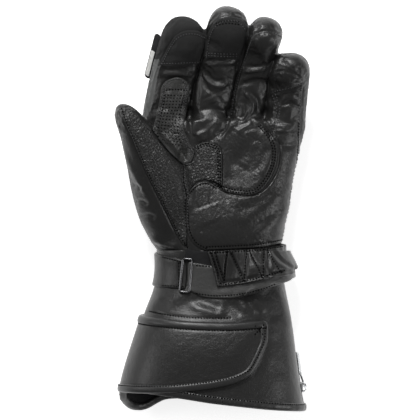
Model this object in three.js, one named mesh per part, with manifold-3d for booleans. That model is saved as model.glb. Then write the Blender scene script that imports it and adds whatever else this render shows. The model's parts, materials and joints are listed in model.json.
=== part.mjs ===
// A left-hand gauntlet glove of black padded leather, heated, lying on its back with the palm up.
// Millimetres. +X runs to the little finger, +Y to the fingertips and +Z up from the palm.
// The shapes are worked out with the wrist seam at y = 0 and the floor under the back at z = 0,
// and the whole group is moved at the end so that its origin is at the middle of its base.
import * as THREE from 'three';
import { mergeVertices } from 'three/addons/utils/BufferGeometryUtils.js';
import Module from 'manifold-3d';

const wasm = await Module();
wasm.setup();

// Hand and gauntlet
const palmWidth = 127;
const palmLength = 100;
const palmDepth = 48;
const gauntletLength = 125;
const hemWidth = 146;
const hemDepth = 66;
const wall = 3;
const clearance = 0.3;

// Fingers and thumb
const fingerDepth = 30;
const middleFingerLength = 95;
const jointCrease = 1.6;
const thumbLength = 121;
const thumbWidth = 47;
const thumbDepth = 35;

// Leather laid on leather
const patchThickness = 1.2;
const panelThickness = 1;
const flapThickness = 2;
const bindingWidth = 6;
const bindingBead = 1;
const hemSlant = 14;

// Wrist strap and its ring
const strapWidth = 25;
const strapThickness = 2;
const gatherThickness = 1.4;
const gatherPuff = 7.5;
const ringLength = 27;
const ringBreadth = 8.4;
const ringBar = 1.9;

// Label on the index finger
const tabLength = 37;
const tabBreadth = 15;
const tabThickness = 1.6;
const labelLength = 22;
const labelBreadth = 6.4;
const labelThickness = 0.6;
const labelMargin = 1;

// Zip of the pocket on the back of the gauntlet
const zipLength = 46;
const zipBreadth = 9;
const zipThickness = 1;
const sliderLength = 8;
const sliderBreadth = 6;
const sliderHeight = 3.4;
const pullLength = 18;
const pullBreadth = 5.4;
const pullThickness = 1.4;

// How far down the glove's sides each layer reaches, as shares of the depth there
const patchDownTo = 0.28;
const tipPanelDownTo = 0.9;
const thumbPanelDownTo = 0.62;
const anchorDownTo = 0.2;
const strapDownTo = 0.3;
const flapDownTo = 0.16;

// How finely the surfaces are cut
const bodyStations = 20;
const bodyAngles = 30;
const fingerStations = 9;
const fingerAngles = 14;
const capSteps = 3;
const liningShare = 0.5;
const stallLiningShare = 0.75;
const cornerSteps = 4;
const bandSteps = 8;

const degree = Math.PI / 180;
const beyond = 2 * (palmLength + gauntletLength);

// Cross-sections of hand and gauntlet. along is a share of the palm's length from the wrist seam up, or
// of the gauntlet's length down; left, right, low, high and cup are shares of the width and depth there.
const palmSections = [
  { along: 0.14, left: -0.395, right: 0.39, low: -0.05, high: 1.03, cup: 0.02, square: 2.5 },
  { along: 0.3, left: -0.405, right: 0.424, low: -0.06, high: 1.05, cup: 0.08, square: 2.5 },
  { along: 0.46, left: -0.42, right: 0.44, low: -0.06, high: 1.03, cup: 0.13, square: 2.5 },
  { along: 0.62, left: -0.432, right: 0.462, low: -0.05, high: 0.99, cup: 0.14, square: 2.5 },
  { along: 0.78, left: -0.452, right: 0.494, low: -0.02, high: 0.94, cup: 0.09, square: 2.6 },
  { along: 0.9, left: -0.462, right: 0.52, low: 0.05, high: 0.9, cup: 0.04, square: 2.8 },
  { along: 1, left: -0.467, right: 0.532, low: 0.12, high: 0.86, cup: 0.02, square: 3 },
];
const gauntletSections = [
  { along: 1, left: -0.528, right: 0.466, low: -0.04, high: 0.98, cup: 0, square: 2.3 },
  { along: 0.9, left: -0.52, right: 0.449, low: -0.04, high: 0.97, cup: 0, square: 2.3 },
  { along: 0.78, left: -0.498, right: 0.434, low: -0.05, high: 0.95, cup: 0, square: 2.3 },
  { along: 0.64, left: -0.462, right: 0.417, low: -0.05, high: 0.92, cup: 0, square: 2.3 },
  { along: 0.5, left: -0.424, right: 0.403, low: -0.05, high: 0.87, cup: 0.01, square: 2.3 },
  { along: 0.36, left: -0.385, right: 0.382, low: -0.05, high: 0.81, cup: 0.02, square: 2.4 },
  { along: 0.24, left: -0.342, right: 0.36, low: -0.04, high: 0.75, cup: 0.03, square: 2.4 },
  { along: 0.12, left: -0.324, right: 0.345, low: -0.03, high: 0.71, cup: 0.02, square: 2.4 },
  { along: 0, left: -0.33, right: 0.343, low: -0.04, high: 0.727, cup: 0.02, square: 2.4 },
];

// Folds in the palm side of hand and gauntlet. x, reach and breadth are shares of the palm's width, y a
// share of the palm's length, depth a share of its depth; turn is the fold's angle from +X in degrees.
const folds = [
  { x: 0.2, y: 0.78, turn: 62, reach: 0.2, breadth: 0.07, depth: 0.07 },
  { x: -0.02, y: 0.87, turn: 32, reach: 0.16, breadth: 0.06, depth: 0.06 },
  { x: 0.27, y: 0.3, turn: 42, reach: 0.22, breadth: 0.05, depth: 0.04 },
  { x: 0.06, y: -0.47, turn: -28, reach: 0.24, breadth: 0.05, depth: 0.06 },
  { x: 0.2, y: -0.42, turn: -52, reach: 0.16, breadth: 0.05, depth: 0.05 },
  { x: -0.2, y: -0.45, turn: 22, reach: 0.16, breadth: 0.06, depth: 0.05 },
  { x: 0.3, y: -0.75, turn: 68, reach: 0.3, breadth: 0.07, depth: 0.05 },
];

// Finger stalls. from and to are where each one's sides meet the knuckle line, as shares of the palm's
// width; length is a share of the middle finger's; deep is a share of the finger depth; lean is the
// angle from +Y to +X at the root and at the tip, and bends are the rises of its three joints, degrees.
const fingers = {
  index: { from: -0.467, to: -0.176, length: 0.92, deep: 1.08, taper: 0.9, lean: [8, 20], bends: [8, 24, 42] },
  middle: { from: -0.176, to: 0.067, length: 1, deep: 1.02, taper: 1.03, lean: [7, 18], bends: [8, 25, 42] },
  ring: { from: 0.067, to: 0.276, length: 0.916, deep: 0.94, taper: 1.05, lean: [7, 20], bends: [9, 27, 45] },
  little: { from: 0.276, to: 0.532, length: 0.62, deep: 0.96, taper: 0.95, lean: [7, 5], bends: [15, 36, 56] },
};
const fingerSquare = 2.35;
const rootInside = 14;
const jointShares = [0.37, 0.67];
const bendShare = 0.14;
const capShare = 0.46;
const creaseReach = 0.06;

// Cross-sections of the thumb stall, as shares of its length, width and depth, from inside the palm.
const thumbSections = [
  { along: 0, wide: 0.72, deep: 0.84 },
  { along: 0.2, wide: 1, deep: 1 },
  { along: 0.42, wide: 0.99, deep: 1.02 },
  { along: 0.55, wide: 0.86, deep: 0.98 },
  { along: 0.68, wide: 0.69, deep: 0.9 },
  { along: 0.82, wide: 0.5, deep: 0.8 },
  { along: 1, wide: 0.28, deep: 0.56 },
];
const thumbSquare = 2.2;
const thumbCapShare = 0.24;
const thumbRoot = { x: -0.25, y: 0.04, z: 0.52 };
const thumbLean = [-9, -36];
const thumbRise = 16;

// Outlines of what is laid on the glove, seen from above. x is a share of the palm's width and y a share
// of its length, both from the wrist seam's middle; round is each corner's radius as a share of the width.
const heelOutline = [
  { x: -0.08, y: 0.005, round: 0.06 },
  { x: -0.185, y: 0.1, round: 0.1 },
  { x: -0.195, y: 0.42, round: 0.06 },
  { x: -0.11, y: 0.56, round: 0.07 },
  { x: 0.0, y: 0.53, round: 0.04 },
  { x: 0.06, y: 0.4, round: 0.08 },
  { x: 0.26, y: 0.38, round: 0.14 },
  { x: 0.4, y: 0.62, round: 0.05 },
  { x: 0.62, y: 0.62, round: 0 },
  { x: 0.62, y: 0.065, round: 0 },
];
const palmOutline = [
  { x: 0.04, y: 0.53, round: 0.03 },
  { x: 0.2, y: 0.41, round: 0.1 },
  { x: 0.36, y: 0.56, round: 0.16 },
  { x: 0.33, y: 0.93, round: 0.1 },
  { x: 0.22, y: 0.99, round: 0.03 },
  { x: -0.09, y: 0.92, round: 0.08 },
  { x: 0.05, y: 0.78, round: 0.05 },
];
const gripOutline = [
  { x: -0.3, y: 0.62, round: 0 },
  { x: -0.19, y: 0.84, round: 0.02 },
  { x: -0.05, y: 0.84, round: 0.06 },
  { x: 0.04, y: 0.78, round: 0.05 },
  { x: 0.03, y: 0.45, round: 0 },
  { x: -0.3, y: 0.35, round: 0 },
];
const indexPatchOutline = [
  { x: -0.34, y: 1.23, round: 0.04 },
  { x: -0.315, y: 1.335, round: 0.07 },
  { x: -0.185, y: 1.335, round: 0.07 },
  { x: -0.17, y: 1.23, round: 0.04 },
  { x: -0.206, y: 0.95, round: 0.04 },
  { x: -0.17, y: 0.85, round: 0 },
  { x: -0.24, y: 0.72, round: 0 },
  { x: -0.41, y: 0.8, round: 0 },
  { x: -0.395, y: 0.94, round: 0.03 },
];
const indexTipOutline = [
  { x: -0.38, y: 1.43, round: 0 },
  { x: -0.32, y: 1.56, round: 0.06 },
  { x: -0.26, y: 1.66, round: 0.07 },
  { x: -0.16, y: 1.7, round: 0.06 },
  { x: -0.03, y: 1.67, round: 0.03 },
  { x: -0.07, y: 1.43, round: 0 },
];
const middleTipOutline = [
  { x: -0.13, y: 1.46, round: 0 },
  { x: -0.06, y: 1.76, round: 0.08 },
  { x: 0.03, y: 1.81, round: 0.06 },
  { x: 0.17, y: 1.79, round: 0.05 },
  { x: 0.22, y: 1.7, round: 0.03 },
  { x: 0.15, y: 1.46, round: 0 },
];
const thumbOutline = [
  { x: -0.212, y: 0.03, round: 0 },
  { x: -0.303, y: 0.27, round: 0.1 },
  { x: -0.412, y: 0.54, round: 0.1 },
  { x: -0.515, y: 0.85, round: 0.1 },
  { x: -0.59, y: 1.08, round: 0.02 },
  { x: -0.5, y: 1.13, round: 0.03 },
  { x: -0.1, y: 0.8, round: 0 },
];
const gatherOutline = [
  { x: -0.067, y: 0.0, round: 0.01 },
  { x: 0.39, y: 0.06, round: 0 },
  { x: 0.66, y: 0.04, round: 0 },
  { x: 0.66, y: -0.1, round: 0 },
  { x: 0.42, y: -0.19, round: 0.05 },
  { x: 0.24, y: -0.25, round: 0.05 },
  { x: -0.01, y: -0.285, round: 0.02 },
];
// The strap's two stretches, left and right of its ring, as the line along its middle.
const anchorLine = [
  { x: -0.6, y: -0.1 },
  { x: -0.37, y: -0.145 },
  { x: -0.2, y: -0.19 },
];
const ringPlace = { x: -0.185, y: -0.195 };
const strapLine = [
  { x: -0.17, y: -0.2 },
  { x: 0.06, y: -0.23 },
  { x: 0.3, y: -0.18 },
  { x: 0.66, y: -0.11 },
];
// Where strap and gathers stand off the wrist: from a share of the palm's length, over a run of it, round
// an angle from the little-finger side, out to the angle whose cosine is edge.
const puff = { from: 0.06, run: 0.22, angle: 8, edge: 0.55 };

// The flap of the gauntlet, in shares of the hem's width and of the gauntlet's length.
const flapOutline = [
  { x: -0.7, y: -0.37, round: 0 },
  { x: -0.15, y: -0.437, round: 0.4 },
  { x: 0.26, y: -0.43, round: 0.025 },
  { x: 0.225, y: -0.66, round: 0.12 },
  { x: 0.14, y: -0.81, round: 0.06 },
  { x: -0.1, y: -0.845, round: 0.3 },
  { x: -0.7, y: -0.905, round: 0 },
];

// Where the label's tab sits on the index finger: a share of the way along it and of its width across,
// with its tilt and turn in degrees. The label sits down from the tab's middle by a share of its length.
const tabSeat = { along: 0.52, across: 0.38, tilt: -38, turn: -5 };
const labelDrop = 0.15;

// The zip's middle and its angle round the gauntlet, and how far its slider sits from its middle.
const zipSeatAt = { along: 0.815, angle: -14 };
const sliderDrop = 0.1;

const leather = new THREE.MeshStandardMaterial({ color: 0x1b1b1c, roughness: 0.42, metalness: 0 });
const grainLeather = new THREE.MeshStandardMaterial({ color: 0x232424, roughness: 0.55, metalness: 0 });
const textile = new THREE.MeshStandardMaterial({ color: 0x1a1a1b, roughness: 0.9, metalness: 0 });
const blackMetal = new THREE.MeshStandardMaterial({ color: 0x2a2a2c, roughness: 0.3, metalness: 0.9 });
const steel = new THREE.MeshStandardMaterial({ color: 0xb8babc, roughness: 0.3, metalness: 1 });
const whiteWeave = new THREE.MeshStandardMaterial({ color: 0xe9e9e6, roughness: 0.8, metalness: 0 });

const mix = (a, b, share) => a + (b - a) * share;
const smoothStep = (share) => {
  const t = Math.min(1, Math.max(0, share));
  return t * t * (3 - 2 * t);
};

// Reads a table of sections between its rows, along smooth curves through them.
function readTable(rows, at) {
  const last = rows.length - 1;
  let i = rows.findIndex((row) => row.at > at) - 1;
  if (i < 0) i = at < rows[0].at ? 0 : last - 1;
  const [a, b] = [rows[i], rows[i + 1]];
  const [before, after] = [rows[Math.max(0, i - 1)], rows[Math.min(last, i + 2)]];
  const span = b.at - a.at;
  const t = Math.min(1, Math.max(0, (at - a.at) / span));
  const read = {};
  for (const key of Object.keys(a)) {
    const slopeA = ((b[key] - before[key]) / (b.at - before.at)) * span;
    const slopeB = ((after[key] - a[key]) / (after.at - a.at)) * span;
    read[key] =
      a[key] * (2 * t ** 3 - 3 * t ** 2 + 1) +
      slopeA * (t ** 3 - 2 * t ** 2 + t) +
      b[key] * (3 * t ** 2 - 2 * t ** 3) +
      slopeB * (t ** 3 - t ** 2);
  }
  return read;
}

const inMillimetres = (row, at, width, depth) => ({
  at,
  left: row.left * width,
  right: row.right * width,
  low: row.low * depth,
  high: row.high * depth,
  cup: row.cup * depth,
  square: row.square,
});
const bodyRows = [
  ...gauntletSections.map((row) => inMillimetres(row, -row.along * gauntletLength, hemWidth, hemDepth)),
  ...palmSections.map((row) => inMillimetres(row, row.along * palmLength, palmWidth, palmDepth)),
];

// One point of a squared oval: across and upward of its middle.
function ovalPoint(angle, halfWidth, halfDepth, square) {
  const [c, s] = [Math.cos(angle), Math.sin(angle)];
  const power = 2 / square;
  return [
    Math.sign(c) * Math.abs(c) ** power * halfWidth,
    Math.sign(s) * Math.abs(s) ** power * halfDepth,
  ];
}

// The hem's slant starts this share of the way down the gauntlet. Across the palm side it grows from the
// little-finger side to the thumb's, at this rate for each half width, from this share in the middle.
const slantStart = 0.2;
const slantMiddle = 0.42;
const slantRate = 0.58;

// How far the folds push the palm side in at a place on it.
function foldDepth(x, y) {
  return folds.reduce((sum, fold) => {
    const [dx, dy] = [x - fold.x * palmWidth, y - fold.y * palmLength];
    const [c, s] = [Math.cos(fold.turn * degree), Math.sin(fold.turn * degree)];
    const along = (dx * c + dy * s) / (fold.reach * palmWidth);
    const across = (dy * c - dx * s) / (fold.breadth * palmWidth);
    return sum + fold.depth * palmDepth * Math.exp(-along * along - across * across);
  }, 0);
}

// A point on hand or gauntlet, at a height y and an angle round it, with the surface moved out by a
// number or by what a function of y and angle gives.
// The back lies flat on the floor, and the hem runs up on the palm side towards the thumb.
function bodyPoint(y, angle, growth) {
  const grow = typeof growth === 'function' ? growth(y, angle) : growth;
  const row = readTable(bodyRows, y);
  const [middle, half] = [(row.left + row.right) / 2, (row.right - row.left) / 2];
  const [centre, halfDepth] = [(row.low + row.high) / 2, (row.high - row.low) / 2];
  const [across, up] = ovalPoint(angle, half + grow, halfDepth + grow, row.square);
  const topShare = Math.max(0, Math.sin(angle));
  const bowl = Math.max(0, 1 - (across / half) ** 2);
  const dent = (row.cup * bowl * bowl + foldDepth(middle + across, y)) * topShare;
  const towardsThumb = smoothStep(slantMiddle - (slantRate * across) / half);
  const towardsHem = smoothStep((-y / gauntletLength - slantStart) / (1 - slantStart));
  const slant = hemSlant * topShare * towardsThumb * towardsHem;
  return new THREE.Vector3(
    middle + across,
    y + slant,
    Math.max(centre + up - dent, 0, -grow),
  );
}

// The line down a finger's or the thumb's middle: at(s) gives the point s millimetres from its root and
// the directions across it and out of its palm side.
function stallLine(root, length, lean, riseAt) {
  const steps = Math.ceil(length);
  const frameAt = (share) => {
    const turn = mix(lean[0], lean[1], Math.min(1, Math.max(0, share))) * degree;
    const rise = riseAt(share) * degree;
    const side = new THREE.Vector3(Math.cos(turn), -Math.sin(turn), 0);
    const ahead = new THREE.Vector3(
      Math.sin(turn) * Math.cos(rise),
      Math.cos(turn) * Math.cos(rise),
      Math.sin(rise),
    );
    return { side, ahead, up: new THREE.Vector3().crossVectors(side, ahead) };
  };
  const points = [root.clone()];
  for (let i = 0; i < steps; i++) {
    const { ahead } = frameAt((i + 0.5) / steps);
    points.push(points[i].clone().addScaledVector(ahead, length / steps));
  }
  return (s) => {
    const place = Math.min(steps, Math.max(0, (s / length) * steps));
    const i = Math.min(steps - 1, Math.floor(place));
    const frame = frameAt(s / length);
    const point = points[i].clone().lerp(points[i + 1], place - i);
    point.addScaledVector(frame.ahead, s - (place / steps) * length);
    return { point, ...frame };
  };
}

// A stall is a surface of rings along such a line, closed by a round cap. point(k, angle, grow) gives
// ring k's point; sizeAt(share) gives its half width and half depth there.
function makeStall({ line, length, start, cap, square, sizeAt, creaseAt }) {
  const shaft = length - cap;
  const rings = fingerStations + capSteps;
  const ringAt = (k, grow) => {
    const share = k / fingerStations;
    const tilt = (Math.max(0, k - fingerStations) / capSteps) * (Math.PI / 2);
    const s = k <= fingerStations ? mix(start, shaft, share) : shaft + (cap + grow) * Math.sin(tilt);
    return { s, shrink: k < rings ? Math.cos(tilt) : 0 };
  };
  const point = (k, angle, grow) => {
    const { s, shrink } = ringAt(k, grow);
    const { point: centre, side, up } = line(s);
    const [halfWidth, halfDepth] = sizeAt(s / length);
    const crease = creaseAt(s / length) * Math.max(0, Math.sin(angle));
    const [across, high] = ovalPoint(
      angle,
      (halfWidth + grow) * shrink,
      (halfDepth + grow) * shrink,
      square,
    );
    return centre.addScaledVector(side, across).addScaledVector(up, high - crease * shrink);
  };
  return { point, rings, line };
}

function fingerStall(finger) {
  const { from, to, taper, lean, bends, deep } = fingers[finger];
  const length = fingers[finger].length * middleFingerLength;
  const halfWidth = ((to - from) * palmWidth - clearance) / 2;
  const last = bodyRows[bodyRows.length - 1];
  const root = new THREE.Vector3(((from + to) / 2) * palmWidth, palmLength, (last.low + last.high) / 2);
  const riseAt = (share) =>
    bends[0] +
    (bends[1] - bends[0]) * smoothStep((share - jointShares[0]) / bendShare + 0.5) +
    (bends[2] - bends[1]) * smoothStep((share - jointShares[1]) / bendShare + 0.5);
  return makeStall({
    line: stallLine(root, length, lean, riseAt),
    length,
    start: -rootInside,
    cap: 2 * halfWidth * capShare,
    square: fingerSquare,
    sizeAt: (share) => {
      const narrowing = mix(1, taper, Math.max(0, share));
      return [halfWidth * narrowing, ((fingerDepth * deep) / 2) * narrowing];
    },
    creaseAt: (share) =>
      jointShares.reduce((sum, joint) => {
        const away = (share - joint) / creaseReach;
        return sum + jointCrease * Math.exp(-away * away);
      }, 0),
  });
}

const thumbRows = thumbSections.map((row) => ({
  at: row.along,
  wide: (row.wide * thumbWidth) / 2,
  deep: (row.deep * thumbDepth) / 2,
}));

function thumbStall() {
  const root = new THREE.Vector3(
    thumbRoot.x * palmWidth,
    thumbRoot.y * palmLength,
    thumbRoot.z * palmDepth,
  );
  return makeStall({
    line: stallLine(root, thumbLength, thumbLean, () => thumbRise),
    length: thumbLength,
    start: 0,
    cap: thumbCapShare * thumbWidth,
    square: thumbSquare,
    sizeAt: (share) => {
      const row = readTable(thumbRows, share);
      return [row.wide, row.deep];
    },
    creaseAt: () => 0,
  });
}

// Makes a closed solid from rings of points, each end closed by a fan to its middle.
function solidFromRings(rings) {
  const around = rings[0].length;
  const positions = rings.flat().flatMap((p) => [p.x, p.y, p.z]);
  const faces = [];
  for (let k = 0; k + 1 < rings.length; k++) {
    for (let j = 0; j < around; j++) {
      const [a, b] = [k * around + j, k * around + ((j + 1) % around)];
      faces.push(a, b, b + around, a, b + around, a + around);
    }
  }
  const closeEnd = (k, outward) => {
    const middle = rings[k].reduce((sum, p) => sum.add(p), new THREE.Vector3()).divideScalar(around);
    const centre = positions.push(middle.x, middle.y, middle.z) / 3 - 1;
    for (let j = 0; j < around; j++) {
      const [a, b] = [k * around + j, k * around + ((j + 1) % around)];
      faces.push(centre, ...(outward ? [a, b] : [b, a]));
    }
  };
  closeEnd(0, false);
  closeEnd(rings.length - 1, true);
  const geometry = new THREE.BufferGeometry();
  geometry.setAttribute('position', new THREE.Float32BufferAttribute(positions, 3));
  geometry.setIndex(faces);
  return toSolid(geometry);
}

function toSolid(source) {
  const bare = source.clone();
  bare.deleteAttribute('normal');
  bare.deleteAttribute('uv');
  const merged = mergeVertices(bare, 1e-4);
  const index = merged.index.array;
  const triVerts = [];
  for (let i = 0; i < index.length; i += 3) {
    const [a, b, c] = [index[i], index[i + 1], index[i + 2]];
    if (a !== b && b !== c && c !== a) triVerts.push(a, b, c);
  }
  return new wasm.Manifold(
    new wasm.Mesh({
      numProp: 3,
      vertProperties: new Float32Array(merged.attributes.position.array),
      triVerts: new Uint32Array(triVerts),
    }),
  );
}

const angleList = (count) => Array.from({ length: count }, (_, j) => (-j / count) * 2 * Math.PI);

// Hand or gauntlet as a full solid between two heights, cut into rings on the same heights everywhere,
// so that layers with different growth stay parallel.
function bodySolid(from, to, grow, share = 1) {
  const count = Math.round(bodyStations * share);
  const lowest = -gauntletLength;
  const step = (palmLength - lowest) / count;
  const inside = Array.from({ length: count + 1 }, (_, k) => lowest + k * step);
  const heights = [from, ...inside.filter((y) => y > from + clearance && y < to - clearance), to];
  const angles = angleList(Math.round(bodyAngles * share));
  return solidFromRings(heights.map((y) => angles.map((angle) => bodyPoint(y, angle, grow))));
}

function stallSolid(stall, grow) {
  const angles = angleList(grow < 0 ? Math.round(stallLiningShare * fingerAngles) : fingerAngles);
  const rings = Array.from({ length: stall.rings + 1 }, (_, k) => k);
  return solidFromRings(rings.map((k) => angles.map((angle) => stall.point(k, angle, grow))));
}

// A closed outline with rounded corners, from rows of shares of a width and a length, with its edges
// drawn in by inset.
function roundedOutline(rows, width, length, inset = 0) {
  const rough = rows.map((row) => new THREE.Vector2(row.x * width, row.y * length));
  const turnSign = Math.sign(THREE.ShapeUtils.area(rough));
  const inward = (a, b) => new THREE.Vector2(a.y - b.y, b.x - a.x).normalize().multiplyScalar(turnSign);
  const neighbours = (list, i) => [list[(i + list.length - 1) % list.length], list[(i + 1) % list.length]];
  const corners = rough.map((corner, i) => {
    const [before, after] = neighbours(rough, i);
    const [first, second] = [inward(before, corner), inward(corner, after)];
    const reach = inset / (1 + first.dot(second));
    return corner.clone().add(first.add(second).multiplyScalar(reach));
  });
  const shape = new THREE.Shape();
  corners.forEach((corner, i) => {
    const [before, after] = neighbours(corners, i);
    const room = 0.96 * Math.min(corner.distanceTo(before), corner.distanceTo(after));
    const reach = Math.min(rows[i].round * width, room / 2);
    const enter = corner.clone().add(before.clone().sub(corner).setLength(reach));
    const leave = corner.clone().add(after.clone().sub(corner).setLength(reach));
    if (i === 0) shape.moveTo(enter.x, enter.y);
    else shape.lineTo(enter.x, enter.y);
    if (reach > 0) shape.quadraticCurveTo(corner.x, corner.y, leave.x, leave.y);
  });
  return shape;
}

// An outline seen from above, carried upright through everything above a height.
function prism(shape, from = 0, to = beyond) {
  const geometry = new THREE.ExtrudeGeometry(shape, {
    depth: to - from,
    bevelEnabled: false,
    curveSegments: cornerSteps,
  });
  geometry.translate(0, 0, from);
  return toSolid(geometry);
}

// A band's outline: the line along its middle, made as wide as the band.
function bandOutline(line, width) {
  const middle = new THREE.SplineCurve(
    line.map((row) => new THREE.Vector2(row.x * palmWidth, row.y * palmLength)),
  );
  const steps = Array.from({ length: bandSteps + 1 }, (_, i) => i / bandSteps);
  const side = (sign) =>
    steps.map((t) => {
      const ahead = middle.getTangent(t);
      const across = new THREE.Vector2(-ahead.y, ahead.x).multiplyScalar((sign * width) / 2);
      return middle.getPoint(t).add(across);
    });
  return new THREE.Shape([...side(-1), ...side(1).reverse()]);
}

function toGeometry(solid) {
  const mesh = solid.getMesh();
  const geometry = new THREE.BufferGeometry();
  const positions = new Float32Array(mesh.numVert * 3);
  for (let i = 0; i < mesh.numVert; i++) {
    positions.set(mesh.vertProperties.subarray(i * mesh.numProp, i * mesh.numProp + 3), i * 3);
  }
  geometry.setAttribute('position', new THREE.BufferAttribute(positions, 3));
  geometry.setIndex(new THREE.BufferAttribute(mesh.triVerts, 1));
  geometry.computeVertexNormals();
  return geometry;
}

// Booleans can leave crumbs where two surfaces graze, so only the largest piece is kept.
function largestPiece(solid) {
  return solid.decompose().reduce((best, piece) => (piece.volume() > best.volume() ? piece : best));
}

const glove = new THREE.Group();

function addPiece(name, solid, material) {
  const mesh = new THREE.Mesh(toGeometry(largestPiece(solid)), material);
  mesh.name = name;
  glove.add(mesh);
}

// A frame on a surface: z out of it, y along the hand, for what is seated on it.
function seatAt(y, angle, lift) {
  const nudge = 0.5;
  const point = bodyPoint(y, angle, lift);
  const along = bodyPoint(y + nudge, angle, lift).sub(bodyPoint(y - nudge, angle, lift)).normalize();
  const around = bodyPoint(y, angle - nudge * degree, lift).sub(bodyPoint(y, angle + nudge * degree, lift));
  const out = new THREE.Vector3().crossVectors(around, along).normalize();
  const across = new THREE.Vector3().crossVectors(along, out);
  return new THREE.Matrix4().makeBasis(across, along, out).setPosition(point);
}

function boxSolid(width, length, height, matrix, lift = 0) {
  const geometry = new THREE.BoxGeometry(width, length, height);
  geometry.translate(0, 0, height / 2 + lift);
  geometry.applyMatrix4(matrix);
  return toSolid(geometry);
}

// Finger stalls, cut off square at the knuckle line; each gives way to its neighbour towards the middle.
const stalls = Object.fromEntries(Object.keys(fingers).map((finger) => [finger, fingerStall(finger)]));
const thumb = thumbStall();
const aboveKnuckles = boxSolid(
  beyond,
  beyond,
  beyond,
  new THREE.Matrix4().makeTranslation(0, palmLength + clearance + beyond / 2, -beyond / 2),
);
const neighbourOf = { index: 'middle', ring: 'middle', little: 'ring' };
for (const [finger, stall] of Object.entries(stalls)) {
  let solid = stallSolid(stall, 0).subtract(stallSolid(stall, -wall)).intersect(aboveKnuckles);
  const neighbour = stalls[neighbourOf[finger]];
  if (neighbour) solid = solid.subtract(stallSolid(neighbour, clearance));
  addPiece(`${finger}_stall`, solid, leather);
}

// The thumb stall meets the palm in a saddle. The palm is open into it and into each finger.
const thumbShell = stallSolid(thumb, 0)
  .subtract(stallSolid(thumb, -wall))
  .subtract(bodySolid(-wall, palmLength, clearance))
  .subtract(stallSolid(stalls.index, clearance));
addPiece('thumb_stall', thumbShell, leather);

let handShell = bodySolid(clearance, palmLength, 0)
  .subtract(bodySolid(-wall, palmLength - wall, -wall, liningShare))
  .subtract(stallSolid(thumb, -wall));
for (const stall of Object.values(stalls)) handShell = handShell.subtract(stallSolid(stall, -wall));
addPiece('hand_shell', handShell, leather);

// The gauntlet and the tape bound round its hem.
const hemTop = -gauntletLength + bindingWidth;
const gauntletShell = bodySolid(hemTop + clearance, 0, 0).subtract(
  bodySolid(-gauntletLength, wall, -wall, liningShare),
);
addPiece('gauntlet', gauntletShell, leather);
const hemBinding = bodySolid(-gauntletLength, hemTop, bindingBead).subtract(
  bodySolid(-gauntletLength - wall, hemTop + wall, -wall - bindingBead, liningShare),
);
addPiece('hem_binding', hemBinding, leather);

// A layer of leather over a surface, inside an outline seen from above.
const bodyLayer = (lift, thickness) =>
  bodySolid(-gauntletLength, palmLength, lift + thickness).subtract(
    bodySolid(-gauntletLength - wall, palmLength + wall, lift),
  );
const stallLayer = (stall, lift, thickness) =>
  stallSolid(stall, lift + thickness).subtract(stallSolid(stall, lift));

const onPalm = (rows, inset = 0) => roundedOutline(rows, palmWidth, palmLength, inset);
const sideHeight = patchDownTo * palmDepth;
const thumbAway = stallSolid(thumb, clearance);
const patchLayer = bodyLayer(clearance, patchThickness);
const heelPatch = patchLayer.intersect(prism(onPalm(heelOutline), sideHeight)).subtract(thumbAway);
addPiece('heel_patch', heelPatch, leather);
const palmPatch = patchLayer
  .intersect(prism(onPalm(palmOutline), sideHeight))
  .subtract(prism(onPalm(heelOutline, -clearance)));
addPiece('palm_patch', palmPatch, leather);

// The perforated patch runs from the palm on to the index finger.
const indexUnder = bodySolid(0, palmLength + wall, clearance).add(stallSolid(stalls.index, clearance));
const indexOver = bodySolid(0, palmLength + wall, clearance + patchThickness).add(
  stallSolid(stalls.index, clearance + patchThickness),
);
const indexPatch = indexOver
  .subtract(indexUnder)
  .intersect(prism(onPalm(indexPatchOutline), sideHeight))
  .subtract(thumbAway);
addPiece('index_patch', indexPatch, leather);
const gripPanel = patchLayer
  .intersect(prism(onPalm(gripOutline), sideHeight))
  .subtract(prism(onPalm(heelOutline, -clearance)))
  .subtract(prism(onPalm(palmOutline, -clearance)))
  .subtract(prism(onPalm(indexPatchOutline, -clearance)))
  .subtract(thumbAway);
addPiece('grip_panel', gripPanel, grainLeather);

const indexTip = stallLayer(stalls.index, clearance, panelThickness)
  .intersect(prism(onPalm(indexTipOutline), tipPanelDownTo * palmDepth))
  .subtract(stallSolid(stalls.middle, clearance));
addPiece('index_tip_panel', indexTip, textile);
const middleTip = stallLayer(stalls.middle, clearance, panelThickness)
  .intersect(prism(onPalm(middleTipOutline), tipPanelDownTo * palmDepth))
  .subtract(stallSolid(stalls.index, clearance + panelThickness + clearance))
  .subtract(stallSolid(stalls.ring, clearance));
addPiece('middle_tip_panel', middleTip, textile);

const thumbPanel = stallLayer(thumb, clearance, panelThickness)
  .intersect(prism(onPalm(thumbOutline), thumbPanelDownTo * palmDepth))
  .subtract(bodySolid(0, palmLength, clearance + patchThickness + clearance))
  .subtract(stallSolid(stalls.index, clearance + patchThickness + clearance));
addPiece('thumb_panel', thumbPanel, grainLeather);

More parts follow.
